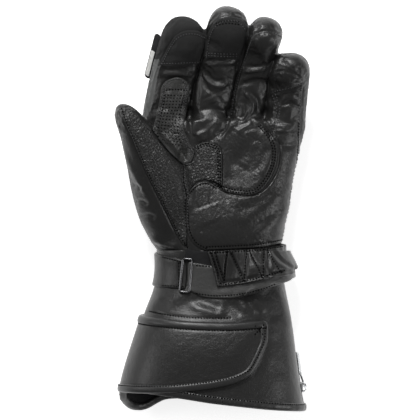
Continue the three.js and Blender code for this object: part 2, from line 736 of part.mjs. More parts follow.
// The wrist strap: a short anchor from the thumb side, the ring, and the long end under the gathers,
// which stands off the wrist towards the little finger.
const ringX = ringPlace.x * palmWidth;
const ringY = ringPlace.y * palmLength;
const wristRow = readTable(bodyRows, ringY);
const ringAcross = (ringX - (wristRow.left + wristRow.right) / 2) / ((wristRow.right - wristRow.left) / 2);
const ringAngle = Math.acos(Math.sign(ringAcross) * Math.abs(ringAcross) ** (wristRow.square / 2));
const ringLift = clearance + strapThickness - ringBar / 2;
const ringSeat = seatAt(ringY, ringAngle, ringLift);
const ringBox = (margin) =>
  boxSolid(
    ringBreadth + 2 * margin,
    ringLength + 2 * margin,
    ringBar + strapThickness + 2 * margin,
    ringSeat,
    -strapThickness - margin,
  );
const windowSize = [ringBreadth - 2 * ringBar, ringLength - 2 * ringBar, beyond];
const ringWindow = boxSolid(...windowSize, ringSeat, -beyond / 2);
const strapRing = boxSolid(ringBreadth, ringLength, ringBar, ringSeat)
  .subtract(ringWindow)
  .subtract(bodySolid(-gauntletLength, 0, clearance));
addPiece('strap_ring', strapRing, blackMetal);

const puffAt = (y, angle) => {
  const downward = smoothStep((puff.from - y / palmLength) / puff.run);
  const sideways = smoothStep((Math.cos(angle - puff.angle * degree) - puff.edge) / (1 - puff.edge));
  return gatherPuff * downward * sideways;
};
const puffedLayer = (lift, thickness) => {
  const [inner, outer] = [lift, lift + thickness].map((grow) => (y, angle) => grow + puffAt(y, angle));
  return bodySolid(-palmLength, palmLength, outer).subtract(
    bodySolid(-palmLength - wall, palmLength + wall, inner),
  );
};
const anchorInside = prism(bandOutline(anchorLine, strapWidth), anchorDownTo * palmDepth);
const strapAnchor = bodyLayer(clearance, strapThickness).intersect(anchorInside).subtract(ringBox(clearance));
addPiece('strap_anchor', strapAnchor, leather);
const strapEnd = puffedLayer(clearance, strapThickness)
  .intersect(prism(bandOutline(strapLine, strapWidth), strapDownTo * palmDepth))
  .subtract(ringBox(clearance));
addPiece('wrist_strap', strapEnd, leather);
const gatherPanel = puffedLayer(clearance + strapThickness + clearance, gatherThickness).intersect(
  prism(onPalm(gatherOutline), strapDownTo * palmDepth),
);
addPiece('gather_panel', gatherPanel, leather);

// The gauntlet's flap, which comes round from the thumb side, and the tape bound round its edge.
const flapShape = (inset) => roundedOutline(flapOutline, hemWidth, gauntletLength, inset);
const flapHeight = flapDownTo * hemDepth;
const flapInside = prism(flapShape(bindingWidth), flapHeight);
const bindingInside = prism(flapShape(bindingWidth - clearance), 0);
addPiece('gauntlet_flap', bodyLayer(clearance, flapThickness).intersect(flapInside), leather);
const flapBinding = bodyLayer(clearance, flapThickness + bindingBead)
  .intersect(prism(flapShape(0), flapHeight))
  .subtract(bindingInside)
  .subtract(bodySolid(-gauntletLength - wall, hemTop + clearance, bindingBead + clearance));
addPiece('flap_binding', flapBinding, leather);

// The label tab stands out of the index finger's side, with a woven label on it.
const tabPlace = stalls.index.line(tabSeat.along * fingers.index.length * middleFingerLength);
const tabTilt = new THREE.Matrix4()
  .makeRotationY(tabSeat.tilt * degree)
  .multiply(new THREE.Matrix4().makeRotationZ(tabSeat.turn * degree));
const tabReach = tabSeat.across * (fingers.index.to - fingers.index.from) * palmWidth;
const tabMatrix = new THREE.Matrix4()
  .makeBasis(tabPlace.side, tabPlace.ahead, tabPlace.up)
  .setPosition(tabPlace.point.addScaledVector(tabPlace.side, -tabReach))
  .multiply(tabTilt);
const indexAway = stallSolid(stalls.index, clearance);
const labelTab = boxSolid(tabBreadth, tabLength, tabThickness, tabMatrix).subtract(indexAway);
addPiece('label_tab', labelTab, textile);
const labelPlace = new THREE.Matrix4().makeTranslation(
  (labelBreadth - tabBreadth) / 2 + labelMargin,
  -labelDrop * tabLength,
  0,
);
const labelMatrix = tabMatrix.clone().multiply(labelPlace);
const label = boxSolid(labelBreadth, labelLength, labelThickness, labelMatrix, tabThickness + clearance);
addPiece('woven_label', label.subtract(indexAway), whiteWeave);

// The pocket's zip on the little-finger side of the gauntlet.
const zipY = -zipSeatAt.along * gauntletLength;
const zipSeat = (y, lift) => seatAt(y, zipSeatAt.angle * degree, lift);
const zipPrism = boxSolid(zipBreadth, zipLength, beyond, zipSeat(zipY, 0), -wall);
const zipTape = bodyLayer(clearance, zipThickness)
  .intersect(zipPrism)
  .subtract(bodySolid(-gauntletLength - wall, hemTop + clearance, bindingBead + clearance));
addPiece('zip_tape', zipTape, textile);
const zipSurface = clearance + zipThickness + clearance;
const aboveTape = bodySolid(-gauntletLength, palmLength, zipSurface);
const sliderSeat = zipSeat(zipY - sliderDrop * zipLength, zipSurface);
const slider = boxSolid(sliderBreadth, sliderLength, sliderHeight, sliderSeat).subtract(aboveTape);
addPiece('zip_slider', slider, steel);
const pullSeat = zipSeat(zipY + sliderDrop * zipLength + pullLength / 2, zipSurface);
const pull = boxSolid(pullBreadth, pullLength, pullThickness, pullSeat, clearance).subtract(aboveTape);
addPiece('zip_pull', pull, steel);

// The origin goes to the middle of the base.
const bounds = new THREE.Box3().setFromObject(glove);
const middleOfBase = bounds.getCenter(new THREE.Vector3()).setZ(bounds.min.z);
glove.position.sub(middleOfBase);

export default glove;
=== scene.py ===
# %% [markdown]
# # A heated riding glove, lying palm up
# The glove rests on its back, and the camera looks straight down on its palm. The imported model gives
# every size. What is made here is the surface: leather that puffs and creases, panels sewn on it,
# stitches, tape, a ring, a label and a zip. Everything is in metres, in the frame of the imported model.

import json
import math
from contextlib import contextmanager

import bmesh
import bpy
import numpy as np
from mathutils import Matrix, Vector
from mathutils.bvhtree import BVHTree
from mathutils.geometry import delaunay_2d_cdt
from mathutils.kdtree import KDTree

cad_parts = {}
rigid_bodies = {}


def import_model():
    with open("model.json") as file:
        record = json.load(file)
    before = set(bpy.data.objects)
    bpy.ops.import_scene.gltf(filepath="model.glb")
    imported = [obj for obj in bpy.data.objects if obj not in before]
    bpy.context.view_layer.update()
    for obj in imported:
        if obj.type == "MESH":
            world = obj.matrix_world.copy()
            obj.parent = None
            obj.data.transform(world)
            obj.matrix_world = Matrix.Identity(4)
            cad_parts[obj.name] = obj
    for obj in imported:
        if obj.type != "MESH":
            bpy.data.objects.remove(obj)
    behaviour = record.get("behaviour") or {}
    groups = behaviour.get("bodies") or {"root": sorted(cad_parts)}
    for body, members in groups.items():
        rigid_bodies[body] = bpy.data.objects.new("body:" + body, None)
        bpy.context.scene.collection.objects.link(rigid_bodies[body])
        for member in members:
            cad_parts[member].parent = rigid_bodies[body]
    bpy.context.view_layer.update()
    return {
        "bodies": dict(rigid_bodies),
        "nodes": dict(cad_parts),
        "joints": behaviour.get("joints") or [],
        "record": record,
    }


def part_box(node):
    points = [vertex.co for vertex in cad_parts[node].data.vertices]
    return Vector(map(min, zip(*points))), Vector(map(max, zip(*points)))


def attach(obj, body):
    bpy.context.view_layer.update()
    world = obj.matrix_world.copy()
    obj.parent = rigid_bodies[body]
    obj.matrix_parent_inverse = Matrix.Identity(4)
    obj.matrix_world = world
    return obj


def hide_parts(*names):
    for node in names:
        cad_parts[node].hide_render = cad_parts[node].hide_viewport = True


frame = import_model()
MM = 0.001
UP = Vector((0, 0, 1))

# %% [markdown]
# ## From the photograph to the frame
# The photograph looks straight down, so a pixel stands for one place on the glove seen from above.
# Seams and creases are written as the pixels that they pass through, because that is how a maker would
# read them off, and `spot` turns them into metres. `curve_through` draws a smooth line through them.
# In the text of a run, `156,70` is a pixel, and `@206,316` is an angle round the arm with a pixel's height.

# %% Pixels and smooth lines
PIXEL = 0.77 * MM
PIXEL_OVER_ORIGIN = (212.8, 209.85)
SIDE = "side"


def spot(px, py):
    """Where a pixel of the photograph lies, seen from above."""
    return ((px - PIXEL_OVER_ORIGIN[0]) * PIXEL, (PIXEL_OVER_ORIGIN[1] - py) * PIXEL)


def spots(pixels):
    return np.array([spot(*pixel) for pixel in pixels])


def pixel_run(text):
    """The pixels of a run's text. A place by its angle round the arm gets SIDE as its third value."""
    rows = []
    for word in text.split():
        row = tuple(float(value) for value in word.lstrip("@").split(","))
        rows.append((*row, SIDE) if word[0] == "@" else row)
    return rows


def outline(text):
    """Runs of pixels that close an outline. A slash follows a corner, where the next run starts."""
    parts = [pixel_run(part) for part in text.split("/")]
    runs = [parts[0]] + [[before[-1], *part] for before, part in zip(parts, parts[1:])]
    runs[-1].append(parts[0][0])
    return runs


def table(text):
    """Lines of a title, values and pixels, as a dictionary of (pixels, *values)."""
    rows = {}
    for line in text.strip().splitlines():
        title, *words = line.split()
        values = [float(word) for word in words if "," not in word]
        rows[title] = (pixel_run(" ".join(word for word in words if "," in word)), *values)
    return rows


def unit(vectors):
    return vectors / np.maximum(np.linalg.norm(vectors, axis=-1, keepdims=True), 1e-12)


def array_of(vectors):
    return np.array([tuple(vector) for vector in vectors])


def smooth_share(value):
    """A value kept from 0 to 1, with a soft start and end."""
    t = np.clip(value, 0, 1)
    return t * t * (3 - 2 * t)


def curve_through(points, step, closed=False):
    """An even run of points along a smooth curve through the given ones."""
    rough = np.asarray(points, float)
    count = len(rough) if closed else len(rough) - 1
    dense = []
    for i in range(count):
        if closed:
            a, b, c, d = (rough[(i + k) % len(rough)] for k in (-1, 0, 1, 2))
        else:
            a, b, c, d = (rough[min(max(i + k, 0), len(rough) - 1)] for k in (-1, 0, 1, 2))
        for t in np.linspace(0, 1, 16, endpoint=False):
            bend = (2 * a - 5 * b + 4 * c - d) * t ** 2 + (3 * b - a - 3 * c + d) * t ** 3
            dense.append(0.5 * (2 * b + (c - a) * t + bend))
    dense.append(rough[0] if closed else rough[-1])
    dense = np.array(dense)
    along = np.r_[0, np.cumsum(np.linalg.norm(np.diff(dense, axis=0), axis=1))]
    places = np.linspace(0, along[-1], max(3, int(round(along[-1] / step)) + 1))
    if closed:
        places = places[:-1]
    return np.stack([np.interp(places, along, dense[:, k]) for k in range(dense.shape[1])], 1)


def joined(runs, step, place=spots):
    """A closed outline of smooth runs of pixels that meet at corners."""
    parts = [curve_through(place(run), step)[:-1] for run in runs]
    return np.concatenate(parts)


def line_distance(points, line):
    """How far each point is from a line, how far along it the nearest place is (0 to 1), and the side."""
    best = np.full(len(points), 1e9)
    share = np.zeros(len(points))
    side = np.zeros(len(points))
    steps = np.diff(line, axis=0)
    lengths = np.maximum(np.linalg.norm(steps, axis=1), 1e-9)
    reached = np.r_[0, np.cumsum(lengths)]
    for i, step in enumerate(steps):
        away = points - line[i]
        t = np.clip(away @ step / lengths[i] ** 2, 0, 1)
        gap = away - t[:, None] * step
        distance = np.hypot(gap[:, 0], gap[:, 1])
        nearer = distance < best
        best[nearer] = distance[nearer]
        share[nearer] = ((reached[i] + t * lengths[i]) / reached[-1])[nearer]
        side[nearer] = np.sign(step[0] * away[:, 1] - step[1] * away[:, 0])[nearer]
    return best, share, side


def offset_line(line, distance):
    """The line moved sideways, to its left."""
    ahead = unit(np.gradient(line, axis=0))
    return line + distance * np.stack([-ahead[:, 1], ahead[:, 0]], 1)


def inside_loop(points, loop):
    inside = np.zeros(len(points), bool)
    x, y = points[:, 0], points[:, 1]
    for (x0, y0), (x1, y1) in zip(loop, np.roll(loop, -1, axis=0)):
        crosses = (y0 > y) != (y1 > y)
        if y1 != y0:
            inside ^= crosses & (x < x0 + (y - y0) * (x1 - x0) / (y1 - y0))
    return inside


def loop_distance(points, loop):
    return line_distance(points, np.vstack([loop, loop[:1]]))[0]


print("one pixel is", round(PIXEL / MM, 2), "mm")

# %% [markdown]
# ## Making and keeping meshes
# A few helpers carry all the rest. `make_mesh` makes an object from points and faces, `keep` says which
# body it rides on and which imported solids it stands for, and `merged_copy` copies
# imported solids with their loose triangles joined into a closed surface.

# %% Mesh helpers
scene = bpy.context.scene


def assign(target, **values):
    for name, value in values.items():
        setattr(target, name, value)
    return target


def place_object(name, data):
    """A new object in the scene, at its origin."""
    made = bpy.data.objects.new(name, data)
    scene.collection.objects.link(made)
    return made


@contextmanager
def opened(piece):
    """The piece's mesh, open for edits, which are written back at the end."""
    shell = bmesh.new()
    shell.from_mesh(piece.data)
    yield shell
    shell.to_mesh(piece.data)
    shell.free()


def make_mesh(name, points, faces, material=None, smooth=True):
    mesh = bpy.data.meshes.new(name)
    mesh.from_pydata([tuple(p) for p in points], [], [tuple(f) for f in faces])
    mesh.update()
    if smooth:
        mesh.shade_smooth()
    piece = place_object(name, mesh)
    if material:
        mesh.materials.append(material)
    return piece


def keep(piece, slot, *nodes):
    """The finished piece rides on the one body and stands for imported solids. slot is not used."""
    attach(piece, "root")
    if nodes:
        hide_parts(*nodes)
    piece.data.calc_loop_triangles()
    print(f"{piece.name}: {len(piece.data.loop_triangles)} triangles")
    return piece


def merged_copy(*nodes):
    """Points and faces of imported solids, with what lies together joined."""
    shell = bmesh.new()
    for node in nodes:
        shell.from_mesh(frame["nodes"][node].data)
    bmesh.ops.remove_doubles(shell, verts=shell.verts, dist=1e-6)
    shell.normal_update()
    return shell


def read(items, name, kind=float, width=3):
    """One property of all of a mesh's points, edges or faces, as rows."""
    values = np.empty(len(items) * width, kind)
    items.foreach_get(name, values)
    return values.reshape(-1, width)


def points_of(mesh):
    return read(mesh.vertices, "co")


def set_points(mesh, places):
    mesh.vertices.foreach_set("co", np.ascontiguousarray(places, float).ravel())
    mesh.update()


def normals_of(mesh):
    return read(mesh.vertex_normals, "vector")


def evaluated(piece):
    """The piece's mesh with its modifiers applied, which are then removed."""
    graph = bpy.context.evaluated_depsgraph_get()
    mesh = bpy.data.meshes.new_from_object(piece.evaluated_get(graph), depsgraph=graph)
    piece.modifiers.clear()
    old = piece.data
    piece.data = mesh
    if old.users == 0:
        bpy.data.meshes.remove(old)
    return piece


def tree_of(*pieces):
    """One tree for rays, over the meshes of several pieces."""
    points, faces = [], []
    for piece in pieces:
        start = len(points)
        points.extend(v.co.copy() for v in piece.data.vertices)
        faces.extend([start + i for i in polygon.vertices] for polygon in piece.data.polygons)
    return BVHTree.FromPolygons(points, faces)


class Smoother:
    """Averages values over a mesh's neighbouring points."""

    def __init__(self, mesh):
        self.a, self.b = read(mesh.edges, "vertices", np.int64, 2).T
        self.count = len(mesh.vertices)
        ends = np.bincount(self.a, minlength=self.count) + np.bincount(self.b, minlength=self.count)
        self.degree = np.maximum(ends, 1)

    def __call__(self, values, times, factor=0.5):
        flat = values.ndim == 1
        work = (values[:, None] if flat else values).copy()
        for _ in range(times):
            total = np.stack([
                np.bincount(self.a, work[self.b, k], self.count)
                + np.bincount(self.b, work[self.a, k], self.count)
                for k in range(work.shape[1])
            ], 1)
            work += factor * (total / self.degree[:, None] - work)
        return work[:, 0] if flat else work


print("helpers are ready")

# %% [markdown]
# ## The camera and the light
# The camera hangs over the palm with a long lens, so that the fingers keep their proportions, and it
# frames what the photograph frames. A pale floor and large soft lamps stand for a light tent. The
# largest lamp is on the fingertips' side, and its reflection makes the bright lines on the creases.

# %% Camera, floor and lamps
CAMERA_DISTANCE = 2.6
MIDDLE_HEIGHT = 0.03
FRAME_PIXELS = 420
SENSOR = 36

camera_data = assign(bpy.data.cameras.new("camera"), sensor_width=SENSOR, clip_end=20,
                     lens=SENSOR * CAMERA_DISTANCE / (FRAME_PIXELS * PIXEL))
camera = place_object("camera", camera_data)
scene.camera = camera
centre = spot(FRAME_PIXELS / 2, FRAME_PIXELS / 2)
camera.location = (centre[0], centre[1], MIDDLE_HEIGHT + CAMERA_DISTANCE)

FLOOR_HALF = 3
corners = [(-FLOOR_HALF, -FLOOR_HALF, 0), (FLOOR_HALF, -FLOOR_HALF, 0),
           (FLOOR_HALF, FLOOR_HALF, 0), (-FLOOR_HALF, FLOOR_HALF, 0)]
floor = make_mesh("floor", corners, [(0, 1, 2, 3)], smooth=False)


def lamp(name, place, power):
    """A soft round lamp that looks at the middle of the glove."""
    data = assign(bpy.data.lights.new(name, "AREA"), shape="DISK", size=LAMP_SIZE, energy=power)
    turn = (-Vector(place)).to_track_quat("-Z", "Y").to_euler()
    assign(place_object(name, data), location=place, rotation_euler=turn)


LAMP_SIZE = 0.45
lamp("tent_top", (-0.2, 0.95, 0.85), 12)
lamp("tent_left", (-1.1, 0.2, 0.7), 2.4)
lamp("tent_right", (1.0, -0.2, 0.7), 3.2)

world = bpy.data.worlds.new("light_tent")
scene.world = world
world.use_nodes = True
world.node_tree.nodes["Background"].inputs["Color"].default_value = (1, 1, 1, 1)
world.node_tree.nodes["Background"].inputs["Strength"].default_value = 0.2
scene.view_settings.view_transform = "Standard"
print("camera lens", round(camera_data.lens), "mm")

# %% [markdown]
# ## Writing materials as sums
# A node tree is easier to read as arithmetic. `Wire` wraps a node's output, so that `0.5 + mask * 0.2`
# adds the Math nodes for it, and `Wire.node` adds any other node with its settings and inputs.

# %% A wire that does sums


class Wire:
    """A node's output in a tree. Arithmetic on it adds Math nodes."""

    def __init__(self, tree, socket):
        self.tree = tree
        self.socket = socket

    @classmethod
    def node(cls, tree, kind, settings=None, inputs=None, output=0):
        made = tree.nodes.new(kind)
        for name, value in (settings or {}).items():
            if name == "stops":
                elements = made.color_ramp.elements
                while len(elements) < len(value):
                    elements.new(1)
                for element, (place, colour) in zip(elements, value):
                    element.position = place
                    element.color = colour
            else:
                setattr(made, name, value)
        for key, value in (inputs or {}).items():
            if isinstance(value, cls):
                tree.links.new(value.socket, made.inputs[key])
            else:
                made.inputs[key].default_value = value
        return cls(tree, made.outputs[output])

    def maths(self, operation, first, second=0.0, clamp=False):
        settings = {"operation": operation, "use_clamp": clamp}
        return Wire.node(self.tree, "ShaderNodeMath", settings, {0: first, 1: second})

    def __add__(self, other):
        return self.maths("ADD", self, other)

    __radd__ = __add__

    def __mul__(self, other):
        return self.maths("MULTIPLY", self, other)

    def __sub__(self, other):
        return self.maths("SUBTRACT", self, other)


print("wires are ready")

# %% [markdown]
# ## Leather
# Black hide has a soft grain of small plates with fine cuts between them, and broader, irregular
# wrinkles where it has been worked. Cell noise gives the plates, cloudy noise the wrinkles. Polish wears
# unevenly, so the roughness drifts, and a thin coat stands for the finish that glove leather gets.

# %% Materials for hide


def new_finish(name):
    """A material with its tree and a wire for places on the object."""
    material = bpy.data.materials.new(name)
    material.use_nodes = True
    tree = material.node_tree
    return material, tree, Wire.node(tree, "ShaderNodeTexCoord", output="Object")


def finished(material, **inputs):
    """The material with wires and plain values on its shader's inputs."""
    shader = material.node_tree.nodes["Principled BSDF"]
    for name, value in inputs.items():
        socket = shader.inputs[name.replace("_", " ")]
        if isinstance(value, Wire):
            material.node_tree.links.new(value.socket, socket)
        else:
            socket.default_value = value
    return material


def noise(tree, place, size, detail=3.0, rough=0.5):
    """Cloudy noise, 0 to 1, with features of a size in metres."""
    inputs = {"Vector": place, "Scale": 1 / size, "Detail": detail, "Roughness": rough}
    return Wire.node(tree, "ShaderNodeTexNoise", None, inputs, "Fac")


def cells(tree, place, size):
    """Cell noise: the distance to the edge of cells of a size in metres."""
    inputs = {"Vector": place, "Scale": 1 / size, "Randomness": 1.0}
    return Wire.node(tree, "ShaderNodeTexVoronoi", {"feature": "DISTANCE_TO_EDGE"}, inputs, "Distance")


def blend_colour(tree, share, first, second):
    inputs = {0: share, 6: (*first, 1), 7: (*second, 1)}
    return Wire.node(tree, "ShaderNodeMix", {"data_type": "RGBA"}, inputs, 2)


def relief(tree, height, depth, under=None):
    """A bump of a depth in metres, over another one."""
    inputs = {"Height": height, "Distance": depth, "Strength": 1.0}
    if under:
        inputs["Normal"] = under
    return Wire.node(tree, "ShaderNodeBump", None, inputs, "Normal")


def hide(name, dark, light, rough, plate, plate_depth, wrinkle, wrinkle_depth, coat):
    """Leather: two colours, polish, and the sizes and depths in mm of its grain plates and wrinkles."""
    material, tree, place = new_finish(name)
    patches = noise(tree, place, PATCH_SIZE, 4, 0.55)
    worked = noise(tree, place, wrinkle * MM, 6, 0.68)
    grain = cells(tree, place, plate * MM)
    raised = grain.maths("SMOOTH_MIN", grain, 0.35)
    colour = blend_colour(tree, patches.maths("MULTIPLY_ADD", patches, 1.4, True), dark, light)
    polish = rough + (patches - 0.5) * 0.16 + (worked - 0.5) * 0.1
    fine = relief(tree, raised, plate_depth * MM, relief(tree, worked, wrinkle_depth * MM))
    return finished(material, Base_Color=colour, Roughness=polish, Normal=fine, Coat_Weight=coat,
                    Coat_Roughness=0.3, Specular_IOR_Level=0.42)


def grey(value):
    return (value, value, value)


PATCH_SIZE = 0.028
smooth_hide = hide("smooth_hide", (0.004, 0.004, 0.0042), (0.013, 0.0128, 0.0125), 0.35,
                   1.1, 0.10, 6, 0.55, 0.15)
# The strap's hide is a lighter, glossier copy of the smooth hide: painted light, for the light that the strap
# catches.
lit_strap_hide = hide("lit_strap_hide", grey(0.014), (0.045, 0.045, 0.044), 0.34, 1.1, 0.10, 5, 0.5, 0.2)
patch_hide = hide("patch_hide", grey(0.008), (0.026, 0.026, 0.025), 0.36, 1.6, 0.35, 4, 0.9, 0.2)
pebbled_hide = hide("pebbled_hide", grey(0.005), (0.016, 0.016, 0.0155), 0.36, 2.2, 1.5, 5, 0.6, 0.1)
side_hide = hide("side_hide", (0.034, 0.035, 0.034), (0.060, 0.062, 0.061), 0.5, 1.1, 0.06, 6, 0.2, 0.05)
tape_hide = hide("tape_hide", grey(0.008), grey(0.020), 0.36, 0.8, 0.04, 3, 0.3, 0.15)
print("hides:", [material.name for material in bpy.data.materials])

# %% [markdown]
# ## Cloth, thread, metal and the floor
# The fingertip panels are a close matte weave that works on a touch screen. It has no gloss, and its
# threads show only as a fine mesh. The ring and the zip are cast metal, and the floor is nearly white.

# %% Other materials


def weave(name, dark, light, thread):
    """A plain weave: two sets of threads of a width in mm that cross, with a matte finish."""
    material, tree, place = new_finish(name)
    turn = math.tau / (thread * MM)
    parts = Wire.node(tree, "ShaderNodeSeparateXYZ", None, {"Vector": place})
    x, y = (Wire(tree, parts.socket.node.outputs[axis]) for axis in "XY")
    threads = x.maths("SINE", x * turn) * y.maths("SINE", y * turn)
    share = threads * 0.25 + noise(tree, place, 0.012)
    colour = blend_colour(tree, share.maths("ADD", share, 0, True), dark, light)
    return finished(material, Base_Color=colour, Normal=relief(tree, threads, 0.12 * MM), Roughness=0.85,
                    Specular_IOR_Level=0.25)


def plain(name, colour, rough, metallic=0.0, gloss=0.5):
    """Metal, thread or paint: one colour that drifts a little, with fine marks."""
    material, tree, place = new_finish(name)
    cloud = noise(tree, place, 0.004, 4)
    drift = blend_colour(tree, cloud, tuple(c * (1 - MOTTLED) for c in colour), colour)
    return finished(material, Base_Color=drift, Roughness=rough + (cloud - 0.5) * 0.2,
                    Normal=relief(tree, noise(tree, place, 0.0009, 2), 0.02 * MM), Metallic=metallic,
                    Specular_IOR_Level=gloss)


def floor_finish():
    """Nearly white paper, with a slight drift that no eye would notice."""
    material, tree, place = new_finish("pale_floor")
    return finished(material, Base_Color=blend_colour(tree, noise(tree, place, 0.4), grey(0.93), grey(0.95)),
                    Roughness=0.9, Emission_Color=(1, 1, 1, 1), Emission_Strength=0.7)


MOTTLED = 0.3
touch_weave = weave("touch_weave", grey(0.018), grey(0.030), 0.8)
tape_weave = weave("tape_weave", (0.010, 0.010, 0.011), (0.018, 0.018, 0.019), 1.0)
label_weave = weave("label_weave", (0.62, 0.62, 0.60), (0.78, 0.78, 0.76), 0.6)
thread_black = plain("thread_black", grey(0.003), 0.9, gloss=0.05)
thread_grey = plain("thread_grey", (0.07, 0.07, 0.072), 0.6, gloss=0.3)
# The perforations' near-black is painted shade, for the shade inside each hole.
hole_shade_black = plain("hole_shade_black", grey(0.002), 0.95, gloss=0.0)
ring_black = plain("ring_black", (0.16, 0.16, 0.165), 0.22, 1.0)
zip_steel = plain("zip_steel", (0.60, 0.61, 0.62), 0.28, 1.0)
floor.data.materials.append(floor_finish())
print("materials:", len(bpy.data.materials))

# %% [markdown]
# ## The hand's hide, in one skin
# The hand, four fingers and thumb are packed as separate shells that nearly touch. A glove's hide runs
# over all of them, so copies are moved slightly until they meet, closed at the wrist, and turned into one
# even skin by a voxel remesh. Smoothing takes the facets away, and what it shrinks is given back.

# %% Join the shells
FINGERS = ("index_stall", "middle_stall", "ring_stall", "little_stall")
FINGER_GAP = 0.2 * MM
HAND_SWELL = 0.35 * MM
ROOT_REACH = 8 * MM
WRIST_TUCK = 9 * MM
WRIST_SHARE = 0.9
SKIN_CELL = 1.15 * MM
NEAR = 1 * MM

hand_low, hand_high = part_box("hand_shell")
wrist_y = hand_low.y
knuckle_y = hand_high.y


def shell_for(node, swell):
    """A copy of a packed shell, moved out or in along its normals."""
    shell = merged_copy(node)
    for vertex, normal in [(v, v.normal.copy()) for v in shell.verts]:
        vertex.co += normal * swell
    return shell


def close_wrist(shell):
    """Draws the wrist end in and back, where the gauntlet takes it, and plugs it."""
    rim = [v for v in shell.verts if v.co.y < wrist_y + NEAR]
    middle = sum((v.co for v in rim), Vector()) / len(rim)
    for vertex in rim:
        vertex.co.x = middle.x + (vertex.co.x - middle.x) * WRIST_SHARE
        vertex.co.z = middle.z + (vertex.co.z - middle.z) * WRIST_SHARE
        vertex.co.y -= WRIST_TUCK
    plug = [shell.verts.new(v.co + Vector((0, dy, 0))) for v in rim for dy in (0, 2.5 * MM)]
    bmesh.ops.convex_hull(shell, input=plug)


whole = bmesh.new()
scratch_mesh = bpy.data.meshes.new("scratch")
for node in (*FINGERS, "thumb_stall", "hand_shell"):
    shell = shell_for(node, -FINGER_GAP if node in FINGERS else HAND_SWELL)
    if node in FINGERS:
        for vertex in shell.verts:
            if vertex.co.y < knuckle_y + NEAR:
                vertex.co.y -= ROOT_REACH
    if node == "hand_shell":
        close_wrist(shell)
    shell.to_mesh(scratch_mesh)
    shell.free()
    whole.from_mesh(scratch_mesh)
whole.to_mesh(scratch_mesh)
whole.free()
skin = place_object("hand_hide", scratch_mesh)
assign(skin.modifiers.new("even_skin", "REMESH"), mode="VOXEL", voxel_size=SKIN_CELL)
evaluated(skin)
print("skin points:", len(skin.data.vertices))

# %% Keep the outer skin and open the wrist


def keep_largest(piece):
    """Deletes all but the largest connected part."""
    shell = bmesh.new()
    shell.from_mesh(piece.data)
    shell.verts.ensure_lookup_table()
    group = [-1] * len(shell.verts)
    sizes = []
    for start in shell.verts:
        if group[start.index] >= 0:
            continue
        number = len(sizes)
        group[start.index] = number
        queue = [start]
        size = 0
        while queue:
            vertex = queue.pop()
            size += 1
            for edge in vertex.link_edges:
                other = edge.other_vert(vertex)
                if group[other.index] < 0:
                    group[other.index] = number
                    queue.append(other)
        sizes.append(size)
    largest = sizes.index(max(sizes))
    gone = [v for v in shell.verts if group[v.index] != largest]
    bmesh.ops.delete(shell, geom=gone, context="VERTS")
    shell.to_mesh(piece.data)
    shell.free()
    return len(sizes)


parts = keep_largest(skin)
smooth = Smoother(skin.data)
rough_points = points_of(skin.data)
FACET_PASSES = 34
soft_points = smooth(rough_points, FACET_PASSES)
set_points(skin.data, soft_points)
lost = np.einsum("ij,ij->i", rough_points - soft_points, normals_of(skin.data))
soft_points += normals_of(skin.data) * smooth(lost, 2 * FACET_PASSES)[:, None]
soft_points[:, 2] = np.maximum(soft_points[:, 2], 0.2 * MM)
set_points(skin.data, soft_points)
skin.data.shade_smooth()
print("parts found:", parts, "- points kept:", len(soft_points))

# %% [markdown]
# ## Creases, folds and seams in the hide
# Leather over padding folds where the fingers bend and pulls in along every seam. Each fold is a soft
# ridge or valley that follows a line of the photograph, with a width and a height in millimetres, and it
# fades out at its ends. A table holds them, and one function presses them all into the surface.

